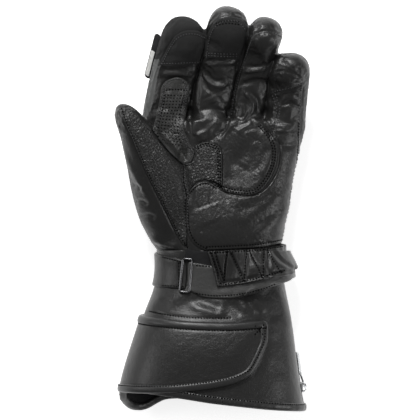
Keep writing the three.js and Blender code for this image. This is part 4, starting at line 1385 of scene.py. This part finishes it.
gathers = sewn("gathered_cuff", "leather", "gather_panel", GATHER_RUNS, 1.6 * MM, smooth_hide, wrapped,
               round_the_arm, edge=1.4 * MM, lift=gathered, sink=-0.6 * MM, pitch=0.9 * MM)

# The dark cloth that shows between thumb, heel and strap, and the welt round the thumb's web.
CLOTH_RUNS = outline("187,248 197,251 208,250 / 211,258 214,268 / 200,266 186,262 / 185,255")
sewn("wrist_cloth", "textile", "", CLOTH_RUNS, 0.8 * MM, tape_weave, wrapped, round_the_arm)
WELT = pixel_run("159,139 167,149 176,158 184,164 191,164 196,159 196,153 193,148")
welt_flat = curve_through(spots(WELT), 0.8 * MM)
welt_path, welt_outs = on_surface(welt_flat, on_skin, 0.45 * MM)
web_welt = sweep("thumb_web_welt", welt_path, welt_outs, 1.5 * MM, 1.5 * MM, tape_hide, sides=10)
keep(web_welt, "leather")

# %% [markdown]
# ## The ring, the label and the zip
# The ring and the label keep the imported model's places. `plate_frame` reads a packed plate's middle and
# its three directions from its own faces, so that the finished piece can be drawn flat and laid there.
# The zip's slider and pull are seated on the zip's tape, beside their packed places.

# %% Read where a plate lies


def plate_frame(node):
    """The middle of a packed plate, its directions across, along and out, and its three sizes."""
    shell = merged_copy(node)
    total = np.zeros((3, 3))
    for face in shell.faces:
        normal = np.array(face.normal)
        total += face.calc_area() * np.outer(normal, normal)
    out = np.linalg.eigh(total)[1][:, -1]
    places = array_of(v.co for v in shell.verts)
    shell.free()
    if out @ (places.mean(0) - arm_middle(places.mean(0)[1])) < 0:
        out = -out
    flat = places - np.outer(places @ out, out)
    along = np.linalg.eigh(np.cov((flat - flat.mean(0)).T))[1][:, -1]
    along = along if along[1] > 0 else -along
    across = np.cross(along, out)
    axes = np.stack([across, along, out])
    low, high = (places @ axes.T).min(0), (places @ axes.T).max(0)
    return (low + high) / 2 @ axes, axes, high - low


CORNER_POINTS = 5


def rounded_rectangle(width, length, radius):
    """A rounded rectangle's outline, in order round its middle."""
    points = []
    for cx, cy, start in ((1, 1, 0), (-1, 1, 90), (-1, -1, 180), (1, -1, 270)):
        for turn in np.radians(np.linspace(start, start + 90, CORNER_POINTS)):
            x = cx * (width / 2 - radius) + radius * math.cos(turn)
            y = cy * (length / 2 - radius) + radius * math.sin(turn)
            points.append((x, y))
    return np.array(points)


def plate(name, outline, thickness, middle, axes, material, bevel):
    """A flat plate with rounded edges, laid at a middle with its directions."""
    rows = [(-0.5, -bevel), (-0.5 + bevel / thickness * 0.6, -bevel * 0.25), (-0.5 + bevel / thickness, 0),
            (0.5 - bevel / thickness, 0), (0.5 - bevel / thickness * 0.4, -bevel * 0.25), (0.5, -bevel)]
    size = np.abs(outline).max(0)
    count = len(outline)
    points = []
    for height, inset in rows:
        scale = (size + inset) / size
        flat = outline * scale
        points += [middle + x * axes[0] + y * axes[1] + height * thickness * axes[2] for x, y in flat]
    faces = grid_faces(len(rows), count) + end_faces(len(rows), count)
    return face_outward(make_mesh(name, points, faces, material))


ring_middle, ring_axes, ring_size = plate_frame("strap_ring")
RING_BAR = 1.9 * MM
RING_LIFT = 0.6 * MM
ring_line = rounded_rectangle(ring_size[0] - RING_BAR, ring_size[1] - RING_BAR, 1.6 * MM)
ring_path = np.array([ring_middle + x * ring_axes[0] + y * ring_axes[1] for x, y in ring_line])
ring_path = ring_path + ring_axes[2] * RING_LIFT
ring = sweep("strap_ring_bar", ring_path, np.tile(ring_axes[2], (len(ring_path), 1)), RING_BAR, RING_BAR,
             ring_black, True, 2.2, 10)
keep(ring, "black_metal", "strap_ring")

# %% The label on its tab
tab_middle, _, tab_size = plate_frame("label_tab")
label_middle, label_axes, label_size = plate_frame("woven_label")
tab_outline = rounded_rectangle(tab_size[0], tab_size[1], 2.5 * MM)
tab = plate("label_tab_cloth", tab_outline, 1.6 * MM, tab_middle, label_axes, tape_weave, 0.5 * MM)
keep(tab, "textile", "label_tab")
BORDER = 0.7 * MM
label = plate("woven_label_blank", rounded_rectangle(label_size[0], label_size[1], 0.5 * MM), 0.6 * MM,
              label_middle, label_axes, tape_weave, 0.15 * MM)
face_outline = rounded_rectangle(label_size[0] - 2 * BORDER, label_size[1] - 2 * BORDER, 0.3 * MM)
label_face = plate("woven_label_face", face_outline, 0.3 * MM, label_middle + label_axes[2] * 0.28 * MM,
                   label_axes, label_weave, 0.08 * MM)
label = join_pieces("woven_label_blank", [label, label_face])
keep(label, "white_weave", "woven_label")
print("label is", [round(s / MM, 1) for s in label_size], "mm")

# %% The zip's tape, slider and pull
ZIP_ANGLE = -9
zip_low, zip_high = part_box("zip_tape")
ZIP_HALF = 4.5 * MM
zip_turn = -math.radians(ZIP_ANGLE) * WRAP_RADIUS
zip_middle_y = (zip_low.y + zip_high.y) / 2
zip_flat = rounded_rectangle(2 * ZIP_HALF, zip_high.y - zip_low.y, 1 * MM)
zip_flat = zip_flat + [zip_turn, zip_middle_y]
zip_outline = curve_through(zip_flat, 0.9 * MM, True)
zip_tape = lay_panel("zip_tape_cloth", zip_outline, round_the_arm, 0.9 * MM, tape_weave)
keep(zip_tape, "textile", "zip_tape")

ZIP_TILT = math.radians(38)


def tilted(axes):
    """A plate's directions turned about its length, so that its face looks up a little."""
    across = axes[0] * math.cos(ZIP_TILT) - axes[2] * math.sin(ZIP_TILT)
    out = axes[2] * math.cos(ZIP_TILT) + axes[0] * math.sin(ZIP_TILT)
    if out[2] < axes[2][2]:
        across = axes[0] * math.cos(ZIP_TILT) + axes[2] * math.sin(ZIP_TILT)
        out = axes[2] * math.cos(ZIP_TILT) - axes[0] * math.sin(ZIP_TILT)
    return np.stack([across, axes[1], out])


on_zip = drop_round_arm(tree_of(zip_tape))


def on_tape(flat):
    """Places on the zip's tape under wrapped points, with directions away from the arm's middle."""
    places, outs = on_surface(flat, on_zip, 0)
    away = places - np.array([arm_middle(place[1]) for place in places])
    return places, outs * np.sign(np.sum(outs * away, axis=1, keepdims=True))


def zip_seat(middle):
    """Where a packed plate's middle sits on the tape's middle line, with its three directions."""
    places, outs = on_tape(np.array([[zip_turn, middle[1] - 3 * MM], [zip_turn, middle[1] + 3 * MM]]))
    along = unit(places[1] - places[0])
    out = unit(outs.mean(0) - along * (outs.mean(0) @ along))
    return places.mean(0), np.stack([np.cross(along, out), along, out])


# The slider's body is sunk a little in the tape, so that it sits on it, and its bail stands on its back.
SLIDER_HIGH = 4.4 * MM
SLIDER_SINK = 0.4 * MM
BAIL_HEIGHT = 4.6 * MM
PULL_HEIGHT = 2.1 * MM
NECK_POINTS = 8
slider_seat, slider_axes = zip_seat(plate_frame("zip_slider")[0])
body = plate("zip_slider_body", rounded_rectangle(5.6 * MM, 8 * MM, 1.8 * MM), SLIDER_HIGH,
             slider_seat + slider_axes[2] * (SLIDER_HIGH / 2 - SLIDER_SINK), slider_axes, zip_steel, 0.7 * MM)
bail = plate("zip_slider_bail", rounded_rectangle(2.8 * MM, 5.4 * MM, 1.1 * MM), 2.4 * MM,
             slider_seat + slider_axes[2] * BAIL_HEIGHT, slider_axes, zip_steel, 0.5 * MM)
slider = join_pieces("zip_slider_body", [body, bail])
keep(slider, "steel", "zip_slider")

# The pull leans with its inner edge on the tape, and a neck joins it to the slider's bail.
packed_pull, _, pull_size = plate_frame("zip_pull")
pull_seat, pull_axes = zip_seat(packed_pull)
pull = plate("zip_pull_tab", rounded_rectangle(pull_size[0], pull_size[1], 2.0 * MM), 1.4 * MM,
             pull_seat + pull_axes[2] * PULL_HEIGHT, tilted(pull_axes), zip_steel, 0.35 * MM)
neck_from, neck_to = slider_seat[1], pull_seat[1] - pull_size[1] / 2 + 2.5 * MM
neck_flat = np.stack([np.full(NECK_POINTS, zip_turn), np.linspace(neck_from, neck_to, NECK_POINTS)], 1)
neck_path, neck_outs = on_tape(neck_flat)
neck_path = neck_path + neck_outs * np.linspace(BAIL_HEIGHT, PULL_HEIGHT, NECK_POINTS)[:, None]
neck = sweep("zip_pull_neck", neck_path, neck_outs, 2.4 * MM, 1.4 * MM, zip_steel, sides=10)
pull = join_pieces("zip_pull_tab", [pull, neck])
keep(pull, "steel", "zip_pull")

# %% [markdown]
# ## Stitches, perforations and zip teeth
# Each of these is one small shape repeated along a line, which is what Geometry Nodes are for. The script
# draws the lines on the glove and notes which way is out. The tree spaces points along them and puts a
# small bead on each, turned to the line. The same tree makes a stitch, a tooth, or a flat near-black disc
# that is painted shade for the inside of a perforation, by its sizes.

# %% The tree that repeats a bead along lines


def bead_tree(name):
    tree = bpy.data.node_groups.new(name, "GeometryNodeTree")
    face = tree.interface
    face.new_socket("Lines", in_out="INPUT", socket_type="NodeSocketGeometry")
    for label in ("Pitch", "Length", "Breadth", "Height"):
        face.new_socket(label, in_out="INPUT", socket_type="NodeSocketFloat")
    face.new_socket("Finish", in_out="INPUT", socket_type="NodeSocketMaterial")
    face.new_socket("Beads", in_out="OUTPUT", socket_type="NodeSocketGeometry")

    def add(kind, settings=None, inputs=None):
        node = tree.nodes.new(kind)
        for key, value in (settings or {}).items():
            setattr(node, key, value)
        for key, value in (inputs or {}).items():
            if isinstance(value, bpy.types.NodeSocket):
                tree.links.new(value, node.inputs[key])
            else:
                node.inputs[key].default_value = value
        return node

    given = add("NodeGroupInput").outputs
    curve = add("GeometryNodeMeshToCurve", None, {"Mesh": given["Lines"]})
    spaced = add("GeometryNodeResampleCurve", {"mode": "LENGTH"},
                 {"Curve": curve.outputs[0], "Length": given["Pitch"]})
    out = add("GeometryNodeInputNamedAttribute", {"data_type": "FLOAT_VECTOR"}, {"Name": "out"})
    ahead = add("GeometryNodeInputTangent")
    upright = add("FunctionNodeAlignRotationToVector", {"axis": "Z"}, {"Vector": out.outputs[0]})
    turned = add("FunctionNodeAlignRotationToVector", {"axis": "X", "pivot_axis": "Z"},
                 {"Rotation": upright.outputs[0], "Vector": ahead.outputs[0]})
    size = add("ShaderNodeCombineXYZ", None,
               {"X": given["Length"], "Y": given["Breadth"], "Z": given["Height"]})
    ball = add("GeometryNodeMeshUVSphere", None, {"Segments": 6, "Rings": 4, "Radius": 0.5})
    shaded = add("GeometryNodeSetShadeSmooth", None, {"Geometry": ball.outputs[0]})
    beads = add("GeometryNodeInstanceOnPoints", None,
                {"Points": spaced.outputs[0], "Instance": shaded.outputs[0],
                 "Rotation": turned.outputs[0], "Scale": size.outputs[0]})
    real = add("GeometryNodeRealizeInstances", None, {"Geometry": beads.outputs[0]})
    finished = add("GeometryNodeSetMaterial", None,
                   {"Geometry": real.outputs[0], "Material": given["Finish"]})
    add("NodeGroupOutput", None, {"Beads": finished.outputs[0]})
    return tree


beads_on_lines = bead_tree("beads_on_lines")


def bead_piece(name, lines, pitch, length, breadth, height, material):
    """Beads along lines of (places, directions)."""
    points, edges, outs = [], [], []
    for places, directions in lines:
        start = len(points)
        points += [tuple(p) for p in places]
        outs += [tuple(d) for d in directions]
        edges += [(start + i, start + i + 1) for i in range(len(places) - 1)]
    mesh = bpy.data.meshes.new(name)
    mesh.from_pydata(points, edges, [])
    mesh.attributes.new("out", "FLOAT_VECTOR", "POINT").data.foreach_set("vector", np.ravel(outs))
    piece = place_object(name, mesh)
    modifier = piece.modifiers.new("beads", "NODES")
    modifier.node_group = beads_on_lines
    sockets = {s.name: s.identifier for s in beads_on_lines.interface.items_tree if s.in_out == "INPUT"}
    values = {"Pitch": pitch, "Length": length, "Breadth": breadth, "Height": height, "Finish": material}
    for label, value in values.items():
        modifier[sockets[label]] = value
    evaluated(piece)
    if "out" in piece.data.attributes:
        piece.data.attributes.remove(piece.data.attributes["out"])
    return piece


# %% Where the stitches run
all_tree = tree_of(skin, gauntlet, palm_panel, heel_panel, keystone, thumb_panel, index_patch, index_tip,
                   middle_tip, flap, flap_tape, anchor, strap, gathers, hem_tape)
from_above = drop_from_above(all_tree)
BREAK = 2.5 * MM


def drawn(pixels, offset=0.0, find=from_above, place=spots, lift=0.05 * MM):
    """A line of stitches on the glove, cut where the surface below it jumps."""
    flat = curve_through(place(pixels), 0.8 * MM)
    if offset:
        flat = offset_line(flat, offset * MM)
    runs, current = [], []
    for point in flat:
        found, normal = find(point)
        jumped = current and found is not None and (found - current[-1][0]).length > BREAK
        if found is None or jumped:
            if len(current) > 3:
                runs.append(current)
            current = []
        if found is not None:
            current.append((found + normal * lift, normal))
    if len(current) > 3:
        runs.append(current)
    return [(array_of(p for p, _ in run), array_of(n for _, n in run)) for run in runs]


# Each row: the pixels of a seam and the distances of its rows of stitches from it, in mm, to its left.
STITCHED = {
    "palm_edge": (PALM_RUNS[0], (1.6, 3.4)),
    "keystone_edge": (pixel_run("197,145 205,142 215,144 221,150 222,165 222,186"), (-1.4, -3.0)),
    "heel_edge": (HEEL_RUNS[0][:9], (-1.6,)),
    "heel_side": (HEEL_RUNS[2], (-1.6,)),
    "heel_foot": (pixel_run("207,249 232,248 262,246 283,242"), (1.8,)),
    "patch_right": (INDEX_PATCH_RUNS[0][5:], (-1.4, -3.2)),
    "patch_left": (pixel_run("161,94 159,105 156,118 153,130"), (1.6, 3.2)),
    "patch_top": (pixel_run("162,91 165,83 171,79 177,78 184,80 188,88"), (-1.2,)),
    "patch_cap": (pixel_run("164,91 176,90 187,91"), (0.0,)),
    "index_tip_arch": (pixel_run("161,64 165,56 171,46 177,39 186,35 197,35 205,38"), (-1.2,)),
    "index_tip_foot": (pixel_run("162,66 175,66 198,65"), (1.2,)),
    "middle_tip_arch": (pixel_run("205,58 207,44 211,32 218,25 227,22 238,23 245,30"), (-1.2,)),
    "middle_tip_rows": (pixel_run("217,28 227,26 238,27"), (0.0, 2.0)),
    "middle_tip_foot": (pixel_run("206,58 221,59 236,59"), (1.0, 2.8)),
    "thumb_long_seam": (SEAMS["thumb_long_seam"][0], (1.4,)),
    "thumb_light_seam": (pixel_run("183,170 184,183 186,196 186,214 187,228"), (-0.8, 1.2)),
    "ring_left": (SEAMS["ring_left_seam"][0], (1.2,)),
    "ring_cap": (SEAMS["ring_cap_seam"][0], (-1.2,)),
    "little_cross": (SEAMS["little_cross_seam"][0], (1.2,)),
    "little_left": (SEAMS["little_left_seam"][0], (1.2, -1.2)),
    "little_side": (SEAMS["little_side_seam"][0], (-1.3,)),
    "gather_top": (pixel_run("212,251 232,250 262,248 282,245"), (-1.0,)),
    "gauntlet_row": (pixel_run("150,311 175,315 200,317 230,317"), (0.0,)),
    "anchor_top": (pixel_run("163,257 183,262"), (0.0,)),
    "anchor_foot": (pixel_run("163,285 183,286"), (0.0,)),
    "anchor_end": (pixel_run("181,263 181,285"), (0.0, -1.6)),
    "strap_top": (pixel_run("197,265 209,266"), (0.0,)),
    "strap_foot": (pixel_run("197,293 215,295 235,294 256,290 274,284"), (0.0,)),
}
FLAP_STITCH_INSET = 5.4 * MM
GREY_THREAD = """index_tip_arch index_tip_foot middle_tip_arch middle_tip_foot little_cross little_left
little_side ring_left ring_cap patch_left patch_right patch_top thumb_light_seam""".split()
stitch_lines = []
grey_lines = []
for title, (pixels, offsets) in STITCHED.items():
    for offset in offsets:
        (grey_lines if title in GREY_THREAD else stitch_lines).extend(drawn(pixels, offset))
for line in (*ZIGZAG, *GATHER_EDGE_ROW):
    stitch_lines += drawn(line)
for line in ([(255, 325), (262, 333)], [(263, 324), (255, 333)]):
    stitch_lines += drawn(line)
flap_row = offset_line(flap_edge, -FLAP_STITCH_INSET)[::4]
round_flap = drop_round_arm(tree_of(flap, flap_tape, gauntlet))
round_the_hem = drop_round_arm(tree_of(hem_tape))
stitch_lines += drawn(flap_row, 0, round_flap, np.array)
HEM_STITCH = TAPE_BREADTH - 1.3 * MM
hem_row = [(-a * WRAP_RADIUS, y + HEM_STITCH) for a, y in zip(angles, hem_edge) if 0.1 < a < 3.0]
stitch_lines += drawn(hem_row[::4], 0, round_the_hem, np.array)

STITCH_PITCH = 2.2 * MM
stitches = bead_piece("stitches", stitch_lines, STITCH_PITCH, 1.5 * MM, 1.15 * MM, 0.5 * MM, thread_black)
grey_stitches = bead_piece("grey_stitches", grey_lines, STITCH_PITCH, 1.4 * MM, 0.95 * MM, 0.8 * MM,
                           thread_grey)
keep(grey_stitches, "textile")
print("stitch faces:", len(stitches.data.polygons), len(grey_stitches.data.polygons))
keep(stitches, "textile")

# %% Perforations and zip teeth
PATCH_LEFT = pixel_run("165,96 163,108 160,120 158,132 161,143")
PATCH_RIGHT = pixel_run("184,96 181,108 179,120 178,132 182,146")
HOLE_ROWS = 17
left_side = curve_through(spots(PATCH_LEFT), 0.4 * MM)
right_side = curve_through(spots(PATCH_RIGHT), 0.4 * MM)
hole_lines = []
for i in range(HOLE_ROWS):
    share = i / (HOLE_ROWS - 1)
    a = left_side[int(share * (len(left_side) - 1))]
    b = right_side[int(share * (len(right_side) - 1))]
    hole_lines += drawn(np.linspace(a, b, 6), 0, from_above, np.array, -0.02 * MM)
# Each perforation is a flat near-black disc on the patch: painted shade for the inside of the hole.
holes = bead_piece("perforations", hole_lines, 2.3 * MM, 1.25 * MM, 1.25 * MM, 0.3 * MM, hole_shade_black)
keep(holes, "perforated_leather")

tooth_line = np.array([(zip_turn, y) for y in (zip_low.y + 2 * MM, zip_middle_y, zip_high.y - 2 * MM)])
teeth = bead_piece("zip_teeth", drawn(tooth_line, 0, on_zip, np.array, 0.2 * MM), 1.4 * MM, 0.9 * MM,
                   3.6 * MM, 1.6 * MM, zip_steel)
keep(teeth, "steel")

# %% [markdown]
# ## Which finish goes where on the hand
# The skin is one mesh, but the glove's cap over the index fingertip is the matte cloth, and the strips
# along the index and little fingers are a greyer hide. Faces inside these outlines get that finish.

# %% Finishes by region
CAP_REGION = pixel_run("163,66 159,60 135,58 140,15 180,4 208,16 208,28 204,46 199,63 180,65")
INDEX_STRIP = pixel_run("160,60 158,66 157,80 155,94 151,110 146,118 132,112 138,80 140,60")
SIDEWAYS = 0.05
LITTLE_STRIP = pixel_run("303,82 304,96 303,120 301,140 301,152 316,150 318,80 311,72")


def finish_region(piece, slot, pixels, side=0):
    """Gives the faces inside an outline a slot's material. side asks for faces that look that way."""
    faces = piece.data.polygons
    inside = inside_loop(read(faces, "center")[:, :2], spots(pixels))
    out = read(faces, "normal")
    if side:
        inside &= (out[:, 0] * side > SIDEWAYS) & (out[:, 2] > -0.75)
    index = read(faces, "material_index", np.int32, 1)[:, 0]
    index[inside] = slot
    faces.foreach_set("material_index", index)


for finish in (smooth_hide, touch_weave, side_hide):
    skin.data.materials.append(finish)
finish_region(skin, 1, CAP_REGION)
finish_region(skin, 2, INDEX_STRIP, -1)
finish_region(skin, 2, LITTLE_STRIP, 1)
print("finishes on the hand:", [m.name for m in skin.data.materials])

# %% [markdown]
# ## Thread pulls the hide in
# A tight row of stitches makes a shallow groove, and that groove is what the eye sees of a seam. Every
# piece under a row is pressed in a little, close to the thread, and the skin also beside panel edges.

# %% Press grooves under the stitches
GROOVE_DEPTH = 0.42 * MM
GROOVE_WIDTH = 1.0 * MM
EDGE_DEPTH = 0.7 * MM
EDGE_WIDTH = 1.1 * MM


def lookup(points):
    """A tree that finds the nearest of some points."""
    tree = KDTree(len(points))
    for i, point in enumerate(points):
        tree.insert(point, i)
    tree.balance()
    return tree


def groove(piece, tree, outs, depth, width):
    """Presses a piece in near the points of a tree, where both face the same way."""
    places = points_of(piece.data)
    normals = normals_of(piece.data)
    move = np.zeros(len(places))
    for i, place in enumerate(places):
        _, index, distance = tree.find(place)
        if distance < 2.5 * width and normals[i] @ outs[index] > 0.4:
            move[i] = depth * math.exp(-(distance / width) ** 2)
    set_points(piece.data, places - normals * move[:, None])
    return int(np.sum(move > 0.05 * MM))


all_lines = stitch_lines + grey_lines
thread_points, thread_outs = (np.concatenate(rows) for rows in zip(*all_lines))
thread_tree = lookup(thread_points)
grooved = 0
for piece in (skin, palm_panel, heel_panel, keystone, thumb_panel, index_patch, index_tip, middle_tip, flap,
              anchor, strap, gathers, gauntlet):
    grooved += groove(piece, thread_tree, thread_outs, GROOVE_DEPTH, GROOVE_WIDTH)

# The skin under a panel is tucked in, so that no crease of it comes up through the panel.
TUCK_DEPTH = 0.6 * MM
TUCK_RUN = 2.5 * MM


def tuck(outline):
    places = points_of(skin.data)
    normals = normals_of(skin.data)
    flat = places[:, :2]
    box = np.all((flat > outline.min(0)) & (flat < outline.max(0)), axis=1) & (normals[:, 2] > 0.15)
    under = np.flatnonzero(box)
    under = under[inside_loop(flat[under], outline)]
    share = smooth_share((loop_distance(flat[under], outline) - 1 * MM) / TUCK_RUN)
    places[under] -= normals[under] * (TUCK_DEPTH * share)[:, None]
    set_points(skin.data, places)


for runs in (KEYSTONE_RUNS, THUMB_RUNS, INDEX_PATCH_RUNS, INDEX_TIP_RUNS):
    tuck(joined(runs, STEP))
tuck(joined([PALM_RUNS[0], [(262, 124), (246, 140), (225, 150), (215, 165), (209, 184)]], STEP))
tuck(joined([HEEL_RUNS[0][:14], [(278, 168), (290, 165), (298, 172)], HEEL_RUNS[2][3:], HEEL_RUNS[3]], STEP))

rim_lines = []
for runs in (KEYSTONE_RUNS, THUMB_RUNS, INDEX_PATCH_RUNS, INDEX_TIP_RUNS, [PALM_RUNS[0]], [HEEL_RUNS[0]]):
    for run in runs:
        rim_lines += drawn(run, 0, on_skin)
rim_points, rim_outs = (np.concatenate(rows) for rows in zip(*rim_lines))
grooved += groove(skin, lookup(rim_points), rim_outs, EDGE_DEPTH, EDGE_WIDTH)
print("points pressed in:", grooved)

# %% Keep the skin
keep(skin, "leather", *FINGERS, "thumb_stall", "hand_shell")
